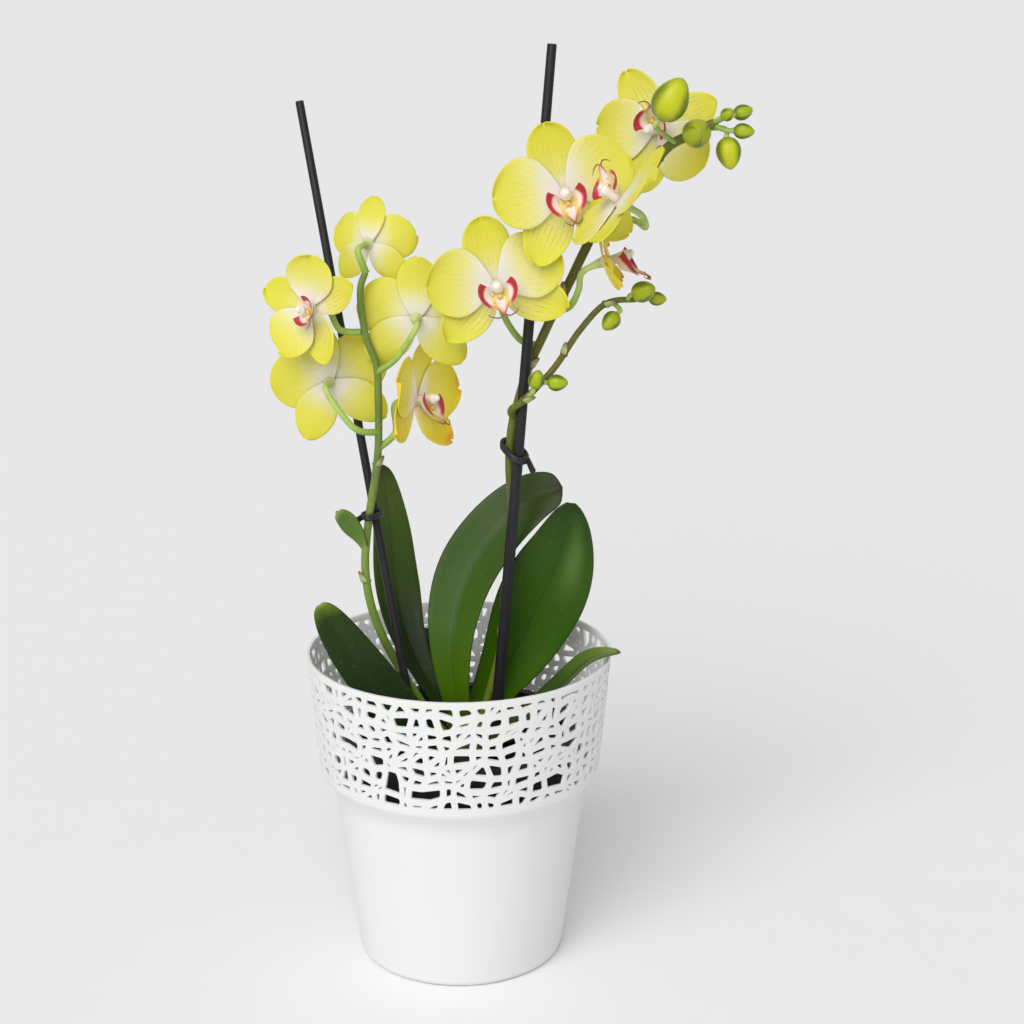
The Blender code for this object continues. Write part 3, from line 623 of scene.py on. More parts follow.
# leaves: spine runs from foot to tip, face is where the front looks at the foot and at the tip,
# and tones are the colours from foot to tip. They share one strap outline, but a lower round
# gives a blunter tip and a higher slim a narrower foot. paintedHighlight is a painted highlight, a paler
# patch where the leaf's shine falls: where it is across and along, how wide and tall, its colour and how
# strong
leaves = {
    "leaf_upper_left": {
        "spine": ((3, 7, 112), (-2, 1, 132), (-4, 3, 158), (-1, 10, 180), (7, 16, 199),
                  (21, 20, 217), (36, 23, 229), (51, 24, 234)),
        "width": 31, "face": ((-0.3, -1, 0.1), (-0.35, -1, 0.5)), "fold": 0.28, "round": 0.36,
        "tones": ((0, (97, 123, 16)), (0.12, (74, 108, 6)), (0.4, (53, 86, 3)),
                  (0.72, (49, 76, 6)), (0.95, (47, 64, 16)), (1, (44, 36, 24))),
    },
    "leaf_upper_right": {
        "spine": ((5, 10, 112), (17, 14, 132), (28, 14.5, 152), (37, 14.5, 172), (45, 14, 190),
                  (51, 13.5, 208), (55, 12, 229)),
        "width": 44, "face": ((0.1, -1, 0.2), (0.1, -1, 0.15)), "fold": 0.16, "round": 0.72,
        "tones": ((0, (99, 140, 16)), (0.15, (65, 106, 5)), (0.45, (49, 87, 2)),
                  (0.8, (46, 78, 5)), (1, (34, 56, 11))),
        "paintedHighlight": (0.72, 0.76, 0.2, 0.22, (99, 130, 62), 0.5),
    },
    "leaf_tall_left": {
        "spine": ((0, 10, 110), (-14, 14, 132), (-27, 22, 158), (-33, 30, 185), (-35, 34, 212),
                  (-39, 38, 242)),
        "width": 24, "face": ((0.2, -1, 0.1), (0.75, -1, 0.0)), "fold": 0.3, "slim": 3.2,
        "tones": ((0, (90, 110, 30)), (0.1, (40, 56, 16)), (0.4, (34, 50, 14)),
                  (0.7, (60, 84, 24)), (0.92, (74, 94, 34)), (1, (66, 62, 34))),
    },
    "leaf_low_left": {
        "spine": ((1, 4, 104), (-10, -12, 112), (-25, -21, 129), (-40, -24, 149), (-55, -23, 170),
                  (-66, -22, 188)),
        "width": 23, "face": ((0.2, -1, 0.4), (0.2, -1, 0.35)), "fold": 0.2,
        "tones": ((0, (70, 96, 24)), (0.2, (30, 48, 12)), (0.6, (28, 48, 12)),
                  (0.9, (36, 58, 16)), (0.98, (90, 118, 30)), (1, (130, 150, 50))),
    },
    "leaf_low_right": {
        "spine": ((5, 4, 104), (15, -12, 112), (32, -18, 129), (48, -20, 146), (63, -19, 160),
                  (78, -17, 163)),
        "width": 21, "face": ((-0.5, -0.3, 1), (-0.2, 0.1, 1)), "fold": 0.3,
        "tones": ((0, (80, 110, 40)), (0.2, (46, 66, 30)), (0.6, (56, 82, 32)),
                  (0.85, (96, 120, 46)), (0.96, (124, 140, 64)), (1, (104, 84, 60))),
    },
    "leaf_low_back": {
        "spine": ((1, 11, 108), (-7, 24, 124), (-16, 36, 140), (-25, 44, 152)),
        "width": 24, "face": ((0.1, -1, 0.6), (0.1, -1, 0.4)), "fold": 0.25,
        "tones": ((0, (40, 60, 30)), (0.3, (24, 38, 24)), (0.8, (28, 44, 28)), (1, (70, 88, 44))),
    },
    "bract_leaf": {
        "spine": ((-45, -6, 211), (-47.5, -8, 217), (-50.5, -9.5, 222.5), (-54, -10.5, 227.5),
                  (-58, -11, 231)),
        "width": 9, "face": ((-0.4, -1, 0.3), (-0.2, -1, 0.5)), "fold": 0.3,
        "tones": ((0, (118, 146, 60)), (0.4, (88, 122, 46)), (0.85, (86, 112, 50)), (1, (150, 160, 96))),
    },
}
# what the blades share: foot, fullFrom, fullTo, tip and taper give the outline, and each tint is
# how strong it is and its colour
blade = {
    "across": 8, "along": 22, "thickness": 1.5, "groove": 0.7, "grooveWidth": 0.14, "ripple": 0.018,
    "waves": 9, "foot": 0.32, "fullFrom": 0.6, "fullTo": 0.55, "tip": 0.05, "taper": 2.2,
    "round": 0.5, "slim": 1.5, "veins": 24, "flecks": (0.1, (130, 150, 80)),
    "veinTint": (0.14, (38, 60, 20)), "middle": (0.45, (40, 62, 20)), "edge": (0.5, (52, 58, 28)),
    "under": ((0.35, (64, 82, 44)), (0.65, (86, 104, 58))), "flush": (0.4, (78, 58, 54)),
    "keel": (0.5, (112, 130, 76)),
}


def leafFinish(name, shape):
    material, tree, surface = shader(name, 0.34, Specular_IOR_Level=0.2, Coat_Weight=0.03,
                                     Coat_Roughness=0.35)
    across, along = surfaceSpot(tree)
    cloud = speckle(tree, 45, detail=3)
    tone = ramp(tree, drifting(tree, along, cloud, 0.16), shape["tones"])
    fleck = rise(tree, speckle(tree, 420, detail=2), 0.62, 0.75)
    tone = tinted(tree, tone, fleck, *blade["flecks"])
    veined = stripes(tree, across, blade["veins"], 0.5)
    tone = tinted(tree, tone, veined, *blade["veinTint"])
    middle = band(tree, across, 0.5, 0.028)
    tone = tinted(tree, tone, middle, *blade["middle"])
    edge = rise(tree, apart(tree, across, 0.5), 0.455, 0.5)
    tone = tinted(tree, tone, edge, *blade["edge"])
    # a painted highlight: a paler patch painted where the leaf's shine falls
    if "paintedHighlight" in shape:
        right, up, wide, tall, seen, amount = shape["paintedHighlight"]
        patch = maths(tree, "MULTIPLY", band(tree, across, right, wide), band(tree, along, up, tall))
        tone = tinted(tree, tone, patch, amount, seen)
    coloured(tree, surface, tone)
    varied(tree, surface, cloud, 0.28, 0.44)
    ridge = maths(tree, "ADD", maths(tree, "MULTIPLY", veined, 0.35), speckle(tree, 700, detail=2))
    relief(tree, surface, ridge, 0.16, 0.0005)
    return material


def undersideFinish():
    material, tree, surface = shader("leaf_underside", 0.5)
    cloud = speckle(tree, 50, detail=3)
    tone = ramp(tree, cloud, blade["under"])
    flush = rise(tree, speckle(tree, 22, detail=2), 0.55, 0.75)
    tone = tinted(tree, tone, flush, *blade["flush"])
    keel = band(tree, surfaceSpot(tree)[0], 0.5, 0.05)
    tone = tinted(tree, tone, keel, *blade["keel"])
    coloured(tree, surface, tone)
    relief(tree, surface, speckle(tree, 600, detail=2), 0.12, 0.0005)
    return material


def bladeWidth(shape, share):  # the share of the full width at a share of the way to the tip
    swell = math.sin(min(share / blade["fullFrom"], 1) * math.pi / 2) ** shape.get("slim", blade["slim"])
    grow = blade["foot"] + (1 - blade["foot"]) * swell
    past = max((share - blade["fullTo"]) / (1 - blade["fullTo"]), 0) ** blade["taper"]
    return max(grow * max(1 - past, 0) ** shape.get("round", blade["round"]), blade["tip"])


def towardsTip(step):  # crowds the rows of a blade's grid at its tip
    return 0.5 * step + 0.5 * math.sin(step * math.pi / 2)


def makeLeaf(name, shape, underside, draw):
    bm = bmesh.new()
    firstFace, lastFace = (Vector(face) for face in shape["face"])
    phase = draw.uniform(0, math.tau)

    def place(side, step):
        share = towardsTip(step)
        centre = between(shape["spine"], share)
        run = between(shape["spine"], share + 0.02) - between(shape["spine"], share - 0.02)
        right = run.cross(firstFace.lerp(lastFace, share)).normalized()
        normal = right.cross(run).normalized()
        half = shape["width"] * bladeWidth(shape, share) / 2
        fold = shape["fold"] * (1 - 0.5 * share)
        wave = math.sin(blade["waves"] * share + phase + side)
        lift = abs(side) ** 1.5 * half * fold + blade["ripple"] * shape["width"] * side * abs(side) * wave
        lift -= blade["groove"] * math.exp(-(side / blade["grooveWidth"]) ** 2) * min(1, half / 8)
        return centre + right * side * half + normal * lift

    def mark(side, step):
        return side / 2 + 0.5, towardsTip(step)

    thicken(bm, sheet(bm, blade["across"], blade["along"], place, mark), blade["thickness"], 1)
    piece = asPiece(bm, name + "_blade", [leafFinish(name + "_green", shape), underside], smooth=1)
    standsFor(piece, "leaf", name)


def makeLeaves(draw):
    underside = undersideFinish()
    for name, shape in leaves.items():
        makeLeaf(name, shape, underside, draw)


makeLeaves(random.Random(3))
print("leaves made")


# flowers: centre is where the five tepals meet, yaw turns a flower about +Z (0 looks along
# -Y), pitch lifts it, lean rolls it, spread is how far round its side sepals stand, span is
# its width across the petals and cup is how far its tepals reach forward. sepalCup is for
# side sepals with a cup of their own, lip is the span its lip is drawn for where that isn't
# the flower's, and curl shortens the curls of its lip
flowers = {
    "left_1": {"centre": (-41, 7, 357), "yaw": 158, "pitch": -5, "lean": 0, "spread": 132,
               "span": 44, "cup": 0.22},
    "left_2": {"centre": (-68, -9, 329), "yaw": -25, "pitch": 5, "lean": 70, "spread": 132,
               "span": 51, "cup": 0.1},
    "left_3": {"centre": (-61, 6, 291), "yaw": 174, "pitch": 0, "lean": -17, "spread": 139,
               "span": 60, "cup": 0.06, "lip": 42},
    "left_4": {"centre": (-19, -1, 323), "yaw": 182, "pitch": 0, "lean": 2, "spread": 132,
               "span": 58, "cup": 0.06},
    "left_5": {"centre": (-19.8, 7, 282), "yaw": 63, "pitch": 5, "lean": -14, "spread": 125,
               "span": 61, "cup": 0.18, "golden": True},
    "right_1": {"centre": (19, -15, 341), "yaw": 3, "pitch": 2, "lean": 14, "spread": 123,
                "span": 66, "cup": 0.06},
    "right_2": {"centre": (50, -20, 384), "yaw": 2, "pitch": 0, "lean": 18, "spread": 140,
                "span": 67, "cup": 0.06, "curl": 0.55},
    "right_3": {"centre": (94, 17, 409), "yaw": -28, "pitch": 8, "lean": 165, "spread": 131,
                "span": 61, "cup": 0.02},
    "right_4": {"centre": (73, -51.5, 384), "yaw": -78, "pitch": 40, "lean": -136, "spread": 126,
                "span": 57, "cup": 0.04},
    "right_5": {"centre": (69.6, -11, 351.5), "yaw": 86, "pitch": 14, "lean": 0, "spread": 132,
                "span": 33, "cup": 0.04, "sepalCup": 0.35, "lip": 66, "golden": True},
}
# tepals: lengths and widths are shares of the span, neck, widest and blunt shape the outline,
# and start is how far forward one stands at its root
tepal = {
    "top": {"length": 0.49, "width": 0.34, "widest": 0.58, "blunt": 2.1, "skew": 0, "wave": 0.02,
            "neck": 0.3, "start": -0.9},
    "petal": {"length": 0.49, "width": 0.49, "widest": 0.5, "blunt": 2.2, "skew": 0.09, "wave": 0.035,
              "neck": 0.12, "start": 0.85},
    "side": {"length": 0.52, "width": 0.34, "widest": 0.5, "blunt": 1.8, "skew": 0.03, "wave": 0.02,
             "neck": 0.3, "start": -0.9},
    "petalTurn": 76, "root": 1.3, "tip": 0.05, "thickness": 0.7, "across": 10, "along": 14,
    "trough": 0.05, "groove": 0.15, "grooveWidth": 0.22, "waves": 7.5, "lapped": 0.1,
    "twist": (-0.05, 0.05), "curl": (-0.03, 0.05), "fan": 1.9,
}
hub = {"behind": 1.6, "length": 5, "radius": 3.3, "ends": 0.25}  # the bead the tepals grow from
# each side's own finish: its name, how many veins and how strong they are
veins = {"petal": ("petal", 15, 0.22), "top": ("top_sepal", 9, 0.25), "side": ("side_sepal", 9, 0.75),
         "back": ("tepal_back", 9, 0.12)}
# colours from the centre of the flower out to the tips
blooms = {
    "yellow": {
        "petal": ((0, (223, 204, 205)), (0.1, (229, 221, 215)), (0.24, (228, 223, 194)),
                  (0.4, (225, 219, 142)), (0.66, (221, 214, 93)), (1, (213, 208, 63))),
        "top": ((0, (226, 215, 209)), (0.14, (228, 223, 188)), (0.28, (223, 218, 127)),
                (0.55, (218, 211, 78)), (1, (213, 209, 51))),
        "side": ((0, (226, 213, 209)), (0.14, (228, 223, 184)), (0.28, (224, 218, 131)),
                 (0.62, (219, 212, 87)), (1, (213, 208, 57))),
        "back": ((0, (219, 215, 198)), (0.16, (226, 221, 201)), (0.32, (224, 218, 150)),
                 (0.52, (219, 212, 87)), (1, (209, 204, 51))),
        "vein": (165, 120, 66), "rim": (221, 215, 57), "hub": (208, 211, 162),
    },
    "golden": {
        "petal": ((0, (252, 231, 235)), (0.16, (255, 246, 224)), (0.34, (248, 235, 116)),
                  (0.7, (242, 227, 58)), (0.94, (235, 210, 49)), (1, (225, 168, 52))),
        "top": ((0, (254, 237, 231)), (0.2, (252, 239, 148)), (0.55, (244, 229, 65)),
                (1, (237, 214, 52))),
        "side": ((0, (255, 242, 224)), (0.18, (254, 237, 139)), (0.55, (246, 229, 63)),
                 (0.9, (239, 210, 52)), (1, (231, 166, 54))),
        "back": ((0, (246, 233, 213)), (0.24, (246, 231, 116)), (0.65, (239, 223, 60)), (1, (233, 200, 49))),
        "vein": (206, 118, 63), "rim": (235, 202, 52), "hub": (225, 216, 146),
    },
}


def tepalFinish(name, stops, vein, rim, lines, strength):
    material, tree, surface = shader(name, 0.55, Subsurface_Weight=0.12, Subsurface_Scale=0.002,
                                     Subsurface_Radius=(1, 0.8, 0.35), Specular_IOR_Level=0.3)
    across, along = surfaceSpot(tree)
    cloud = speckle(tree, 70, detail=3)
    tone = ramp(tree, drifting(tree, along, cloud, 0.2), stops)
    thin = stripes(tree, drifting(tree, across, cloud, 0.07), lines, 0.3)
    broken = rise(tree, speckle(tree, 240, detail=2), 0.36, 0.58)
    reach = maths(tree, "MULTIPLY", rise(tree, along, 0.08, 0.3), rise(tree, along, 0.92, 0.6))
    shown = maths(tree, "MULTIPLY", thin, reach)
    shown = maths(tree, "MULTIPLY", shown, maths(tree, "MULTIPLY", broken, strength))
    tone = blendColours(tree, shown, tone, ink(*vein))
    edge = rise(tree, apart(tree, across, 0.5), 0.36, 0.5)
    edge = maths(tree, "MULTIPLY", edge, rise(tree, along, 0.2, 0.6))
    tone = tinted(tree, tone, edge, 0.55, rim)
    coloured(tree, surface, tone)
    varied(tree, surface, cloud, 0.48, 0.66)
    cells = speckle(tree, 1100, detail=2)
    ridge = maths(tree, "ADD", maths(tree, "MULTIPLY", thin, -0.5), cells)
    relief(tree, surface, ridge, 0.14, 0.0004)
    return material


def hubFinish(name, seen):
    material, tree, surface = shader(name, 0.5, Subsurface_Weight=0.1, Subsurface_Scale=0.002)
    cloud = speckle(tree, 220, detail=3)
    tone = ramp(tree, cloud, ((0.3, seen), (0.75, [value * 0.92 for value in seen])))
    coloured(tree, surface, tone)
    varied(tree, surface, cloud, 0.4, 0.6)
    relief(tree, surface, speckle(tree, 800), 0.12, 0.0003)
    return material


def outline(kind, share):
    grow = kind["neck"] + (1 - kind["neck"]) * math.sin(min(share / kind["widest"], 1) * math.pi / 2)
    past = max(share - kind["widest"], 0) / (1 - kind["widest"])
    return max(grow * math.sqrt(max(1 - past ** kind["blunt"], 0)), tepal["tip"])


def makeTepal(bm, flower, kind, turn, lapped, finish, draw):
    length = kind["length"] * flower["span"] - tepal["root"]
    half = kind["width"] * flower["span"] / 2
    spin = Matrix.Rotation(math.radians(turn), 3, "Y")
    skew = kind["skew"] * (-1 if turn > 0 else 1)
    phase = draw.uniform(0, math.tau)
    twist = draw.uniform(*tepal["twist"])
    curl = draw.uniform(*tepal["curl"])
    cup = flower.get("sepalCup", flower["cup"]) if kind is tepal["side"] else flower["cup"]

    def along(step):
        return 0.12 * step + 0.88 * math.sin(step * math.pi / 2)

    def place(side, step):
        share = along(step)
        across = side * half * outline(kind, share) + skew * length * share * (1 - share) * 2
        edge = side * side
        forward = kind["start"] + lapped + cup * length * share ** 1.6
        forward += tepal["trough"] * length * edge * share
        wave = math.sin(tepal["waves"] * share + phase + 1.4 * side)
        forward += kind["wave"] * length * edge * share * wave
        forward += length * share * (twist * side + curl * share)
        forward -= tepal["groove"] * math.exp(-(side / tepal["grooveWidth"]) ** 2) * (1 - share)
        return spin @ Vector((across, -forward, tepal["root"] + length * share))

    def mark(side, step):
        share = along(step)
        if kind is not tepal["petal"]:
            return side / 2 + 0.5, share
        fan = math.atan2(side * half * outline(kind, share), (share + 0.12) * length)
        return 0.5 + fan / tepal["fan"], share

    thicken(bm, sheet(bm, tepal["across"], tepal["along"], place, mark, finish), tepal["thickness"], 3)


def placement(flower):
    angles = (-flower["pitch"], -flower["lean"], flower["yaw"])
    turn = Euler([math.radians(angle) for angle in angles], "YXZ")
    return Matrix.Translation(flower["centre"]) @ turn.to_matrix().to_4x4()


def makeTepals(name, flower, finishes, draw):
    bm = bmesh.new()
    spread, petalTurn, lapped = flower["spread"], tepal["petalTurn"], tepal["lapped"]
    makeTepal(bm, flower, tepal["top"], 0, 0, 1, draw)
    makeTepal(bm, flower, tepal["side"], spread, 0, 2, draw)
    makeTepal(bm, flower, tepal["side"], -spread, -lapped, 2, draw)
    makeTepal(bm, flower, tepal["petal"], petalTurn, 0, 0, draw)
    makeTepal(bm, flower, tepal["petal"], -petalTurn, lapped, 0, draw)

    def swell(share, turn):
        end = 1 if 0 < share < 1 else hub["ends"]
        return hub["radius"] * math.sin(math.pi * min(0.2 + share * 0.66, 1)) ** 0.8 * end

    bead(bm, aimed((0, -hub["behind"], 0), (0, 1, 0), (0, 0, 1)), hub["length"], swell, finish=4)
    bm.transform(placement(flower))
    piece = asPiece(bm, "flower_" + name, finishes, sharp=180, smooth=1)
    standsFor(piece, "petal", "tepals_" + name)


def bloomFinishes(bloom, tones):
    finishes = [tepalFinish(bloom + "_" + part, tones[kind], tones["vein"], tones["rim"], lines, strength)
                for kind, (part, lines, strength) in veins.items()]
    return finishes + [hubFinish(bloom + "_hub", tones["hub"])]


def makeFlowers(draw):
    finishes = {bloom: bloomFinishes(bloom, tones) for bloom, tones in blooms.items()}
    for name, flower in flowers.items():
        makeTepals(name, flower, finishes["golden" if flower.get("golden") else "yellow"], draw)


makeFlowers(random.Random(21))
print("tepals made")


# lips, drawn for a flower 66 mm wide; points are (x, forward, up) from the flower's centre
# and every list of tones runs from root to tip
lip = {
    "forSpan": 66, "wall": 0.6, "forward": 2.5,
    "column": ((0, -1.5, 0), (0, 2, 0.1), (0, 6, 0.6), (0, 9.6, 0.1)),
    "columnRadius": 2.3, "columnSwell": 0.5,
    "columnTones": ((0, (226, 196, 210)), (0.35, (236, 222, 222)), (0.8, (244, 240, 232)),
                    (1, (238, 226, 190))),
    "columnSpots": (0.12, (206, 150, 160)),
    "capAt": (0, 7.4, 1.4), "capAim": (0, -1, -0.25), "capLength": 3.6, "capRadius": 2.1,
    "callusAt": (0, 5.2, -4.6), "callusAim": (0, -0.7, 0.5), "callusLength": 2.6, "callusRadius": 1.5,
    "callusTone": (240, 206, 70), "callusDots": (176, 60, 40),
    "lobeTones": ((0, (244, 232, 226)), (0.24, (242, 224, 220)), (0.36, (220, 120, 128)),
                  (0.43, (182, 42, 60)), (0.9, (176, 38, 48)), (0.97, (194, 66, 58)),
                  (1, (210, 112, 90))),
    "lobeFoot": (0.85, (240, 222, 140)), "lobeBelly": (0.9, 0.8),
    "lobeRoot": ((1.4, 5, -5.6), (2.6, 4, -5.0), (3.4, 3, -4.0), (3.7, 2.5, -2.6), (3.5, 2.2, -1.0),
                 (2.9, 2, 0.2)),
    "lobeRim": ((2.4, 11, -9.8), (5.8, 10.5, -7.6), (8.4, 9.5, -4.2), (9.2, 8.5, -0.9),
                (8.8, 7.5, 2.0), (7.2, 6.6, 4.0)),
    "tongue": ((0, 2.5, -4.0), (0, 7, -7.0), (0, 11.5, -9.6), (0, 15, -11.6)),
    "tongueHalf": 4.4, "tongueTip": 0.3, "tongueTrough": 2.6,
    "tongueTones": ((0, (242, 226, 160)), (0.25, (244, 234, 214)), (0.65, (236, 216, 220)),
                    (0.88, (206, 158, 142)), (1, (150, 96, 76))),
    "tongueEdge": ((0, (240, 226, 130)), (0.5, (238, 212, 110)), (0.78, (206, 130, 90)),
                   (1, (140, 76, 60))),
    "tongueDots": (0.5, (170, 60, 60)),
    "curl": ((0.3, 14.4, -11.4), (2.2, 15.6, -12.4), (4.6, 15, -11.9), (6.6, 13.8, -10.9),
             (7.3, 13, -9.6)),
    "curlRadii": (0.5, 0.24),
    "curlTones": ((0, (160, 96, 72)), (0.6, (134, 84, 58)), (1, (182, 150, 110))),
}


def ofLip(point):
    across, forward, up = point
    return Vector((across, -forward, up))


def columnFinish():
    material, tree, surface = shader("column_white", 0.45, Subsurface_Weight=0.15, Subsurface_Scale=0.002)
    tone = ramp(tree, surfaceSpot(tree)[1], lip["columnTones"])
    spots = rise(tree, speckle(tree, 700, detail=2), 0.62, 0.7)
    tone = tinted(tree, tone, spots, *lip["columnSpots"])
    coloured(tree, surface, tone)
    varied(tree, surface, speckle(tree, 300), 0.35, 0.55)
    relief(tree, surface, speckle(tree, 900), 0.12, 0.0003)
    return material


def lobeFinish():
    material, tree, surface = shader("lobe_red", 0.5, Subsurface_Weight=0.1, Subsurface_Scale=0.0015)
    across, along = surfaceSpot(tree)
    narrow = maths(tree, "MULTIPLY", maths(tree, "SUBTRACT", 1.0, across), 0.36)
    spot = maths(tree, "SUBTRACT", drifting(tree, along, speckle(tree, 260, detail=3), 0.2), narrow)
    tone = ramp(tree, spot, lip["lobeTones"])
    low = rise(tree, across, 0.26, 0.0)
    tone = tinted(tree, tone, low, *lip["lobeFoot"])
    coloured(tree, surface, tone)
    varied(tree, surface, speckle(tree, 300), 0.38, 0.6)
    relief(tree, surface, speckle(tree, 1100), 0.15, 0.0003)
    return material


def tongueFinish():
    material, tree, surface = shader("tongue_cream", 0.5, Subsurface_Weight=0.1, Subsurface_Scale=0.0015)
    across, along = surfaceSpot(tree)
    inner, rim = (ramp(tree, along, lip[part]) for part in ("tongueTones", "tongueEdge"))
    edge = rise(tree, apart(tree, across, 0.5), 0.22, 0.38)
    tone = blendColours(tree, edge, inner, rim)
    dots = rise(tree, speckle(tree, 800, detail=2), 0.6, 0.66)
    tone = tinted(tree, tone, dots, *lip["tongueDots"])
    coloured(tree, surface, tone)
    varied(tree, surface, speckle(tree, 300), 0.4, 0.6)
    relief(tree, surface, speckle(tree, 1000), 0.15, 0.0003)
    return material


def callusFinish():
    material, tree, surface = shader("callus_yellow", 0.4)
    dots = rise(tree, speckle(tree, 900, detail=2), 0.54, 0.6)
    coloured(tree, surface, blendColours(tree, dots, ink(*lip["callusTone"]), ink(*lip["callusDots"])))
    varied(tree, surface, dots, 0.35, 0.55)
    relief(tree, surface, dots, 0.2, 0.0003)
    return material


def curlFinish():
    material, tree, surface = shader("curl_brown", 0.5)
    coloured(tree, surface, ramp(tree, surfaceSpot(tree)[1], lip["curlTones"]))
    relief(tree, surface, speckle(tree, 900), 0.12, 0.0003)
    return material


# the column, and the cap on the end of it
def addColumn(bm):
    def radius(share):
        waist = lip["columnRadius"] + lip["columnSwell"] * ease(0.45, 0.8, share)
        return waist * (1 - 0.75 * ease(0.86, 1, share))

    def swell(share, turn):
        return lip["capRadius"] * math.sin(math.pi * min(max(share, 0), 1)) ** 0.6

    strand(bm, [ofLip(point) for point in lip["column"]], radius, sides=14, steps=14, finish=0)
    bead(bm, aimed(ofLip(lip["capAt"]), lip["capAim"]), lip["capLength"], swell, finish=0)


# one of the two red lobes beside the column; hand is -1 or 1
def addLobe(bm, hand):
    outward, ahead = lip["lobeBelly"]

    def place(side, share):
        height = side / 2 + 0.5
        spot = between(lip["lobeRoot"], height).lerp(between(lip["lobeRim"], height), share)
        belly = math.sin(math.pi * share)
        across = spot.x + outward * belly * math.cos(side * 1.3)
        return ofLip((hand * across, spot.y + ahead * belly, spot.z))

    thicken(bm, sheet(bm, 8, 6, place, finish=1), lip["wall"], 1)


# one of the two thin curls at the tongue's tip
def addCurl(bm, reach):
    route = [ofLip((reach * across, forward, up)) for across, forward, up in lip["curl"]]
    strand(bm, route, taper(*lip["curlRadii"]), sides=6, steps=12, finish=4)


def addTongue(bm):
    def place(side, share):
        spot = between(lip["tongue"], share)
        swell = math.sin(math.pi * min(0.24 + share * 0.74, 1)) ** 0.9
        half = lip["tongueHalf"] * swell * (1 - 0.35 * share) + lip["tongueTip"]
        lift = lip["tongueTrough"] * side * side * (1 - share) ** 0.7
        return ofLip((side * half, spot.y, spot.z + lift))

    thicken(bm, sheet(bm, 8, 10, place, finish=2), lip["wall"], 2)


# the two-lobed yellow lump at the tongue's root
def addCallus(bm):
    def swell(share, turn):
        return lip["callusRadius"] * math.sin(math.pi * share) ** 0.6 * (1 + 0.16 * math.cos(2 * turn))

    place = aimed(ofLip(lip["callusAt"]), lip["callusAim"])
    bead(bm, place, lip["callusLength"], swell, sides=10, steps=8, finish=3)


def makeLip(name, flower, finishes):
    bm = bmesh.new()
    addColumn(bm)
    for hand in (-1, 1):
        addLobe(bm, hand)
        addCurl(bm, hand * flower.get("curl", 1))
    addTongue(bm)
    addCallus(bm)
    size = flower.get("lip", flower["span"]) / lip["forSpan"]
    bm.transform(placement(flower) @ Matrix.Translation((0, -lip["forward"], 0)) @ Matrix.Scale(size, 4))
    piece = asPiece(bm, "lip_and_column_" + name, finishes, sharp=180, smooth=1)
    standsFor(piece, "lip", "lip_" + name)


def makeLips():
    finishes = [columnFinish(), lobeFinish(), tongueFinish(), callusFinish(), curlFinish()]
    for name, flower in flowers.items():
        makeLip(name, flower, finishes)


makeLips()
print("lips made")


# stalks: radii and shades are from foot to top, nodes are shares of the way up where a leaf
# scale grew, firstHand is the side that the lowest scale stands on, and stems has the points
# that each flower's own stem starts with
stalks = {
    "stalk_left": {
        "route": ((-2, 7, 104), (-12, 4, 117), (-22, 1, 134), (-31, -1, 151), (-38, -6, 168),
                  (-43, -9, 186), (-45, -8, 205), (-43.2, 0.4, 226), (-40, 1, 245), (-38, -1, 262),
                  (-37.5, -3, 285), (-38, -4, 301), (-43, -4, 316), (-45, -4, 336), (-42, -4, 346)),
        "radii": (2.3, 1.6), "nodes": (0.2, 0.395, 0.6), "firstHand": 1,
        "shades": ((0, (104, 132, 44)), (0.25, (116, 144, 56)), (0.6, (118, 140, 66)),
                   (0.8, (112, 134, 62)), (1, (120, 142, 66))),
        "stems": {
            "left_1": ((-42, -4, 345),),
            "left_2": ((-45, -4, 317), (-55, -3, 318)),
            "left_3": ((-38, -1.5, 268), (-49, -9, 272)),
            "left_4": ((-37.5, -4, 298), (-28, -10, 306)),
            "left_5": ((-38, -1, 260), (-30, 3, 267)),
        },
    },
    "stalk_right": {
        "route": ((7, 7, 108), (14, 7, 130), (22, 7, 165), (26, 6.2, 215), (24.8, 4, 250),
                  (25.8, 3.8, 268), (28.8, 5.6, 281), (34, 7.5, 298), (40, 5, 312), (46, 1, 326),
                  (53, 0, 340), (60, 0, 355), (69, 0, 372), (84, -3, 384), (96, -7, 402),
                  (107, -10, 409), (119, -11, 415)),
        "radii": (2.1, 2.3), "nodes": (0.12, 0.44, 0.6, 0.76, 0.86, 0.93), "firstHand": -1,
        "shades": ((0, (111, 126, 37)), (0.3, (98, 104, 37)), (0.5, (103, 104, 44)),
                   (0.65, (98, 97, 42)), (0.85, (96, 97, 39)), (1, (105, 117, 39))),
        "stems": {
            "right_1": ((39, 5.5, 309), (30, 8, 311), (22, 3, 324)),
            "right_2": ((62, 0, 360), (56, -6, 370)),
            "right_3": ((72, -0.6, 374.4), (70, 14, 385), (76, 35, 397)),
            "right_4": ((68, 0, 370), (81.5, -10, 370.5), (86, -32, 370)),
            "right_5": ((46, 1, 326), (53, -4, 329), (57, -9, 338)),
        },
    },
}
sideBranch = {
    "route": ((26.6, 4.4, 274), (25.6, -1.6, 279), (31, -5.4, 284), (38, -4.8, 291), (47, -3, 301),
              (58, -4, 318), (70, -6, 331), (84, -7, 333)),
    "radii": (1.8, 1.4), "nodes": (0.3, 0.62, 0.85), "firstHand": 1,
}
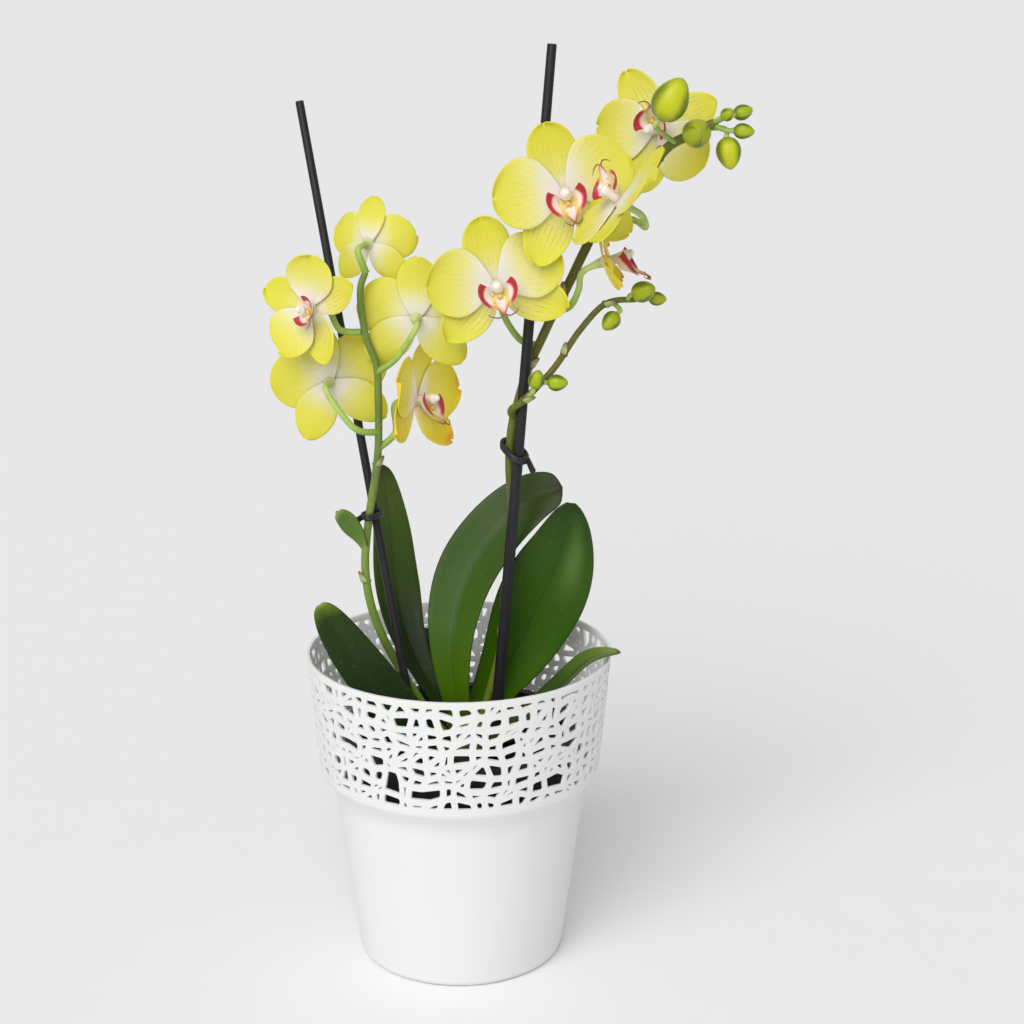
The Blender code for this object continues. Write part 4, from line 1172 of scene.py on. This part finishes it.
# closed buds: middle, way the tip points, length and thickness, and where its stem starts
buds = {
    "bud_top_1": {"centre": (97, -25, 426), "tip": (0.46, -0.2, 0.87), "size": (22, 16.4),
                  "from": (101, -8.5, 405), "skin": "bud_yellow_green"},
    "bud_top_2": {"centre": (109, -24, 411), "tip": (0.15, -1, 0.2), "size": (16, 13),
                  "from": (107, -10, 409), "skin": "bud_olive"},
    "bud_top_3": {"centre": (123, -19, 419), "tip": (0.5, -0.9, 0.4), "size": (8, 6),
                  "from": (115, -10.6, 413)},
    "bud_top_4": {"centre": (131, -8, 419), "tip": (1, 0.3, 0.25), "size": (10, 7.2),
                  "from": (118, -10.8, 414.6)},
    "bud_top_5": {"centre": (131, -14, 411), "tip": (1, -0.2, -0.05), "size": (10, 7.2),
                  "from": (117, -11.2, 413.6)},
    "bud_top_6": {"centre": (124.5, -13, 401), "tip": (0.15, -0.2, -0.95), "size": (15.5, 11.5),
                  "from": (113, -10.4, 412), "skin": "bud_yellow_green"},
    "bud_branch_1": {"centre": (87, -14, 338), "tip": (0.75, -0.6, 0.35), "size": (13, 10),
                     "from": (80, -7, 333)},
    "bud_branch_2": {"centre": (94, -5, 333), "tip": (1, 0.1, -0.1), "size": (9, 6.6),
                     "from": (83, -6.8, 333)},
    "bud_branch_3": {"centre": (72, -9, 323), "tip": (-0.5, -0.4, -0.5), "size": (11, 8.4),
                     "from": (73, -6, 331.5)},
    "bud_low_1": {"centre": (37.5, -11.5, 296), "tip": (0.25, -0.4, 0.9), "size": (10.5, 7.6),
                  "from": (33, -5.2, 286)},
    "bud_low_2": {"centre": (47.5, -10, 294), "tip": (1, -0.3, 0.05), "size": (10.5, 8),
                  "from": (39, -4.8, 292)},
}
# the flowers' and buds' stems: hubBack is how far a flower's hub reaches behind its centre,
# bend the stem's last point before its end, from there, and sunk how far the end goes in
stem = {
    "hubBack": 3.2, "bend": (9, -2.5), "sunk": 0.6, "radii": (1.65, 1.45), "swell": 0.9,
    "budSunk": 0.5, "budRadii": (1.25, 1.1), "budSwell": 0.5, "budBend": 0.45, "budBendMost": 4,
    "shades": ((0, (140, 168, 72)), (0.4, (166, 194, 96)), (0.8, (186, 206, 116)), (1, (206, 216, 152))),
    "dull": (0.35, (74, 92, 38)), "flecks": (0.25, (168, 182, 112)),
}
# the swollen rings where leaf scales grew, and the dry scales: wrap is half of a scale's turn
# round the stalk at its foot, off and flare its distance from it at the foot and further up
nodeRing = {"proud": 0.5, "below": 1.2, "tall": 2.4}
leafScale = {
    "wrap": 1.1, "off": 0.75, "flare": 0.9, "above": 0.2, "tall": 5.5, "thickness": 0.45,
    "tones": ((0, (150, 160, 92)), (0.4, (176, 178, 120)), (0.8, (150, 128, 84)), (1, (112, 82, 56))),
}


def stalkFinish(name, shades):
    material, tree, surface = shader(name, 0.45, Specular_IOR_Level=0.25)
    streak = speckle(tree, 160, detail=4, stretch=(1, 1, 0.25))
    tone = ramp(tree, drifting(tree, surfaceSpot(tree)[1], streak, 0.3), shades)
    dull = rise(tree, streak, 0.45, 0.7)
    tone = tinted(tree, tone, dull, *stem["dull"])
    fleck = rise(tree, speckle(tree, 900, detail=2), 0.6, 0.7)
    tone = tinted(tree, tone, fleck, *stem["flecks"])
    coloured(tree, surface, tone)
    varied(tree, surface, streak, 0.36, 0.55)
    relief(tree, surface, speckle(tree, 700, detail=3), 0.2, 0.0004)
    return material


def bractFinish():
    material, tree, surface = shader("bract_scale", 0.6)
    coloured(tree, surface, ramp(tree, surfaceSpot(tree)[1], leafScale["tones"]))
    varied(tree, surface, speckle(tree, 300), 0.5, 0.7)
    relief(tree, surface, speckle(tree, 500, detail=3), 0.3, 0.0004)
    return material


# a swollen ring where a leaf scale grew, and the dry scale clasping the stalk above it
def makeNode(bm, route, share, radius, hand):
    ahead = (between(route, share + 0.01) - between(route, share - 0.01)).normalized()
    place = aimed(between(route, share), ahead, (hand, -0.8, 0.1))

    def swell(up, turn):
        return (radius + nodeRing["proud"]) * math.sin(math.pi * min(max(up, 0.02), 0.98)) ** 0.35

    foot = place @ Matrix.Translation((0, 0, -nodeRing["below"]))
    bead(bm, foot, nodeRing["tall"], swell, sides=12, steps=6)

    def clasp(side, up):
        turn = side * leafScale["wrap"] * (1 - 0.85 * up ** 1.5)
        reach = radius + leafScale["off"] + leafScale["flare"] * up
        height = leafScale["above"] + leafScale["tall"] * up
        return place @ Vector((reach * math.cos(turn), reach * math.sin(turn), height))

    thicken(bm, sheet(bm, 6, 6, clasp, finish=2), leafScale["thickness"], 2)


# the nodes of a stalk or branch, whose scales stand on either side in turn
def makeNodes(bm, shape):
    radius = taper(*shape["radii"])
    for count, share in enumerate(shape["nodes"]):
        makeNode(bm, shape["route"], share, radius(share), shape["firstHand"] * (-1) ** count)


def flowerStem(bm, flower, start):
    place = placement(flower)
    behind, drop = stem["bend"]
    bend = place @ Vector((0, stem["hubBack"] + behind, drop))
    end = place @ Vector((0, stem["hubBack"] - stem["sunk"], 0))
    strand(bm, (*start, bend, end), taper(*stem["radii"], stem["swell"]), sides=10, steps=22, finish=1)


def budStem(bm, shape):
    tip = Vector(shape["tip"]).normalized()
    end = Vector(shape["centre"]) - tip * (shape["size"][0] / 2 - stem["budSunk"])
    start = Vector(shape["from"])
    bend = end - tip * min((end - start).length * stem["budBend"], stem["budBendMost"])
    strand(bm, (start, bend, end), taper(*stem["budRadii"], stem["budSwell"]), sides=8, steps=8, finish=1)


def makeStalk(name, shape, finishes):  # a stalk narrows at its very top
    bm = bmesh.new()
    radius = taper(*shape["radii"])
    strand(bm, shape["route"], lambda share: radius(share) * (1 - 0.5 * ease(0.985, 1, share)),
           sides=14, steps=90)
    makeNodes(bm, shape)
    for flower, start in shape["stems"].items():
        flowerStem(bm, flowers[flower], start)
    if name == "stalk_right":
        strand(bm, sideBranch["route"], taper(*sideBranch["radii"]), sides=12, steps=40)
        makeNodes(bm, sideBranch)
        for bud in buds.values():
            budStem(bm, bud)
    standsFor(asPiece(bm, name + "_stem", finishes, sharp=60), "stalk", name)


def makeStalks():
    pale = stalkFinish("flower_stem_green", stem["shades"])
    bract = bractFinish()
    for name, shape in stalks.items():
        makeStalk(name, shape, [stalkFinish(name + "_green", shape["shades"]), pale, bract])


makeStalks()
print("stalks made")


# bud skins: the colours of the faces, of the darker seams between them (painted shade of the bud's curved
# flanks) and of the greener base (partly its own colour, partly painted shade)
budSkins = {
    "bud_yellow_green": ((190, 196, 22), (120, 134, 18), (116, 136, 26)),
    "bud_olive": ((160, 170, 22), (112, 126, 16), (106, 126, 22)),
    "bud_young_green": ((164, 178, 24), (98, 118, 16), (102, 126, 22)),
}
# creaseShade is painted shade in the grooves between the sepals: how strong it is and its colour
budShape = {"fullest": 0.82, "blunt": 0.62, "ridge": 0.05, "sides": 18, "steps": 14,
            "creaseShade": (0.6, (64, 84, 30)), "flecks": (0.14, (206, 214, 120))}


def budFinish(name, face, seamShade, base):
    material, tree, surface = shader(name, 0.36, Subsurface_Weight=0.1, Subsurface_Scale=0.003,
                                     Specular_IOR_Level=0.3, Coat_Weight=0.05, Coat_Roughness=0.3)
    across, along = surfaceSpot(tree)
    cloud = speckle(tree, 120, detail=3)
    wave = maths(tree, "ABSOLUTE", maths(tree, "SINE", maths(tree, "MULTIPLY", across, 3 * math.pi)))
    wave = maths(tree, "ADD", wave, maths(tree, "MULTIPLY", cloud, 0.12))
    # painted shade: darker towards the three seams, where the bud's curved flanks turn away
    flankShade = maths(tree, "SUBTRACT", 1.0, rise(tree, wave, 0.3, 0.95))
    flankShade = maths(tree, "MULTIPLY", flankShade, rise(tree, along, 0.97, 0.6))
    tone = blendColours(tree, flankShade, ink(*face), ink(*seamShade))
    # painted shade in the grooves along the seams
    creaseShade = maths(tree, "SUBTRACT", 1.0, rise(tree, wave, 0.08, 0.22))
    tone = tinted(tree, tone, creaseShade, *budShape["creaseShade"])
    # greener towards the base: partly the bud's own colour, partly painted shade
    foot = rise(tree, along, 0.3, 0.0)
    tone = tinted(tree, tone, foot, 0.8, base)
    # darker towards the tip, where the seams meet, in the painted shade colour
    tipped = rise(tree, along, 0.82, 1.0)
    tone = tinted(tree, tone, tipped, 0.3, seamShade)
    fleck = rise(tree, speckle(tree, 800, detail=2), 0.58, 0.68)
    tone = tinted(tree, tone, fleck, *budShape["flecks"])
    coloured(tree, surface, tone)
    varied(tree, surface, cloud, 0.3, 0.46)
    relief(tree, surface, speckle(tree, 800, detail=2), 0.12, 0.0004)
    return material


def makeBud(name, shape, skin):
    length, thick = shape["size"]
    tip = Vector(shape["tip"]).normalized()

    def swell(share, turn):
        body = math.sin(math.pi * min(max(share, 0), 1) ** budShape["fullest"]) ** budShape["blunt"]
        ridge = 1 + budShape["ridge"] * abs(math.sin(1.5 * turn)) ** 3
        return thick / 2 * body * ridge if 0 < share < 1 else 0

    bm = bmesh.new()
    place = aimed(Vector(shape["centre"]) - tip * length / 2, tip, (0, -1, 0.1))
    bead(bm, place, length, swell, sides=budShape["sides"], steps=budShape["steps"])
    standsFor(asPiece(bm, name + "_closed", [skin], sharp=180, smooth=1), "bud", name)


def makeBuds():
    skins = {name: budFinish(name, *colours) for name, colours in budSkins.items()}
    for name, shape in buds.items():
        makeBud(name, shape, skins[shape.get("skin", "bud_young_green")])


makeBuds()
print("buds made")


# the short ringed stem that the leaves and stalks grow from; ends is the share of its radius
# that is left at its foot and top
crown = {
    "ends": 0.7, "flare": 5, "rings": 7, "ringTall": 3.6, "ringDip": 0.05, "dome": 1.5, "waver": 0.06,
    "sides": 24, "shades": ((0, (80, 92, 44)), (0.5, (104, 132, 44)), (1, (128, 150, 56))),
}


def makeCrown():
    low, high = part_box("crown")
    middle, top, foot = (low + high) * 500, high.z * 1000, low.z * 1000
    reach = (high.x - low.x) * 500
    shoulder = foot + crown["flare"]
    profile = [(0, foot), (reach * crown["ends"], foot), (reach, shoulder)]
    for step in range(1, crown["rings"] + 1):
        profile.append((reach * (1 - crown["ringDip"] * (step % 2)), shoulder + step * crown["ringTall"]))
    profile += [(reach * crown["ends"], top - crown["dome"]), (0, top)]
    bm = turned(profile, crown["sides"])
    for vert in bm.verts:
        wave = math.sin(2 * math.atan2(vert.co.y, vert.co.x) + vert.co.z * 0.3)
        vert.co.xy *= 1 + crown["waver"] * wave
    bm.transform(Matrix.Translation((middle.x, middle.y, 0)))
    finish = stalkFinish("crown_green", crown["shades"])
    standsFor(asPiece(bm, "crown_stem", [finish], sharp=60, smooth=1), "stalk", "crown")


makeCrown()
print("crown made")


# plastic clips that hold the stalks to their stakes: around has the stalk's middle and the
# stake's, and each clip is a loop of wires round both, at heights above and below them
clips = {
    "clip_left": {"around": ((-43.2, 0.4, 226), (-40.8, 5.1, 226)), "reach": 3.3, "wire": 0.76,
                  "tail": (-49.5, -2, 224)},
    "clip_right": {"around": ((25.4, 3.9, 259.5), (28.9, 0.0, 256.5)), "reach": 4.5, "wire": 1.04,
                   "tail": (36, -6, 250)},
}
clipLoop = {"heights": (-0.9, 0, 0.9), "arcSteps": 6, "tailRadii": (1.1, 1.6),
            "tones": ((0.3, (22, 22, 24)), (0.7, (36, 36, 40)))}


def clipFinish():
    material, tree, surface = shader("clip_black", 0.4)
    cloud = speckle(tree, 200, detail=3)
    coloured(tree, surface, ramp(tree, cloud, clipLoop["tones"]))
    varied(tree, surface, cloud, 0.32, 0.5)
    relief(tree, surface, speckle(tree, 900), 0.1, 0.0003)
    return material


def makeClips():
    finish = clipFinish()
    for name, shape in clips.items():
        first, last = (Vector(end) for end in shape["around"])
        along = (last - first).normalized()
        across = along.cross(Vector((0, 0, 1))).normalized()
        route = []
        for end, start in ((last, -math.pi / 2), (first, math.pi / 2)):
            for step in range(clipLoop["arcSteps"] + 1):
                turn = start + math.pi * step / clipLoop["arcSteps"]
                route.append(end + (along * math.cos(turn) + across * math.sin(turn)) * shape["reach"])
        route.append(route[0])
        bm = bmesh.new()
        for height in clipLoop["heights"]:
            lifted = [spot + Vector((0, 0, height)) for spot in route]
            strand(bm, lifted, taper(shape["wire"], shape["wire"]), sides=8, steps=44)
        tail = (last - across * shape["reach"], Vector(shape["tail"]))
        strand(bm, tail, taper(*clipLoop["tailRadii"]), sides=8, steps=6)
        standsFor(asPiece(bm, name + "_loop", [finish], sharp=50), "clip", name)


makeClips()
print("clips made")
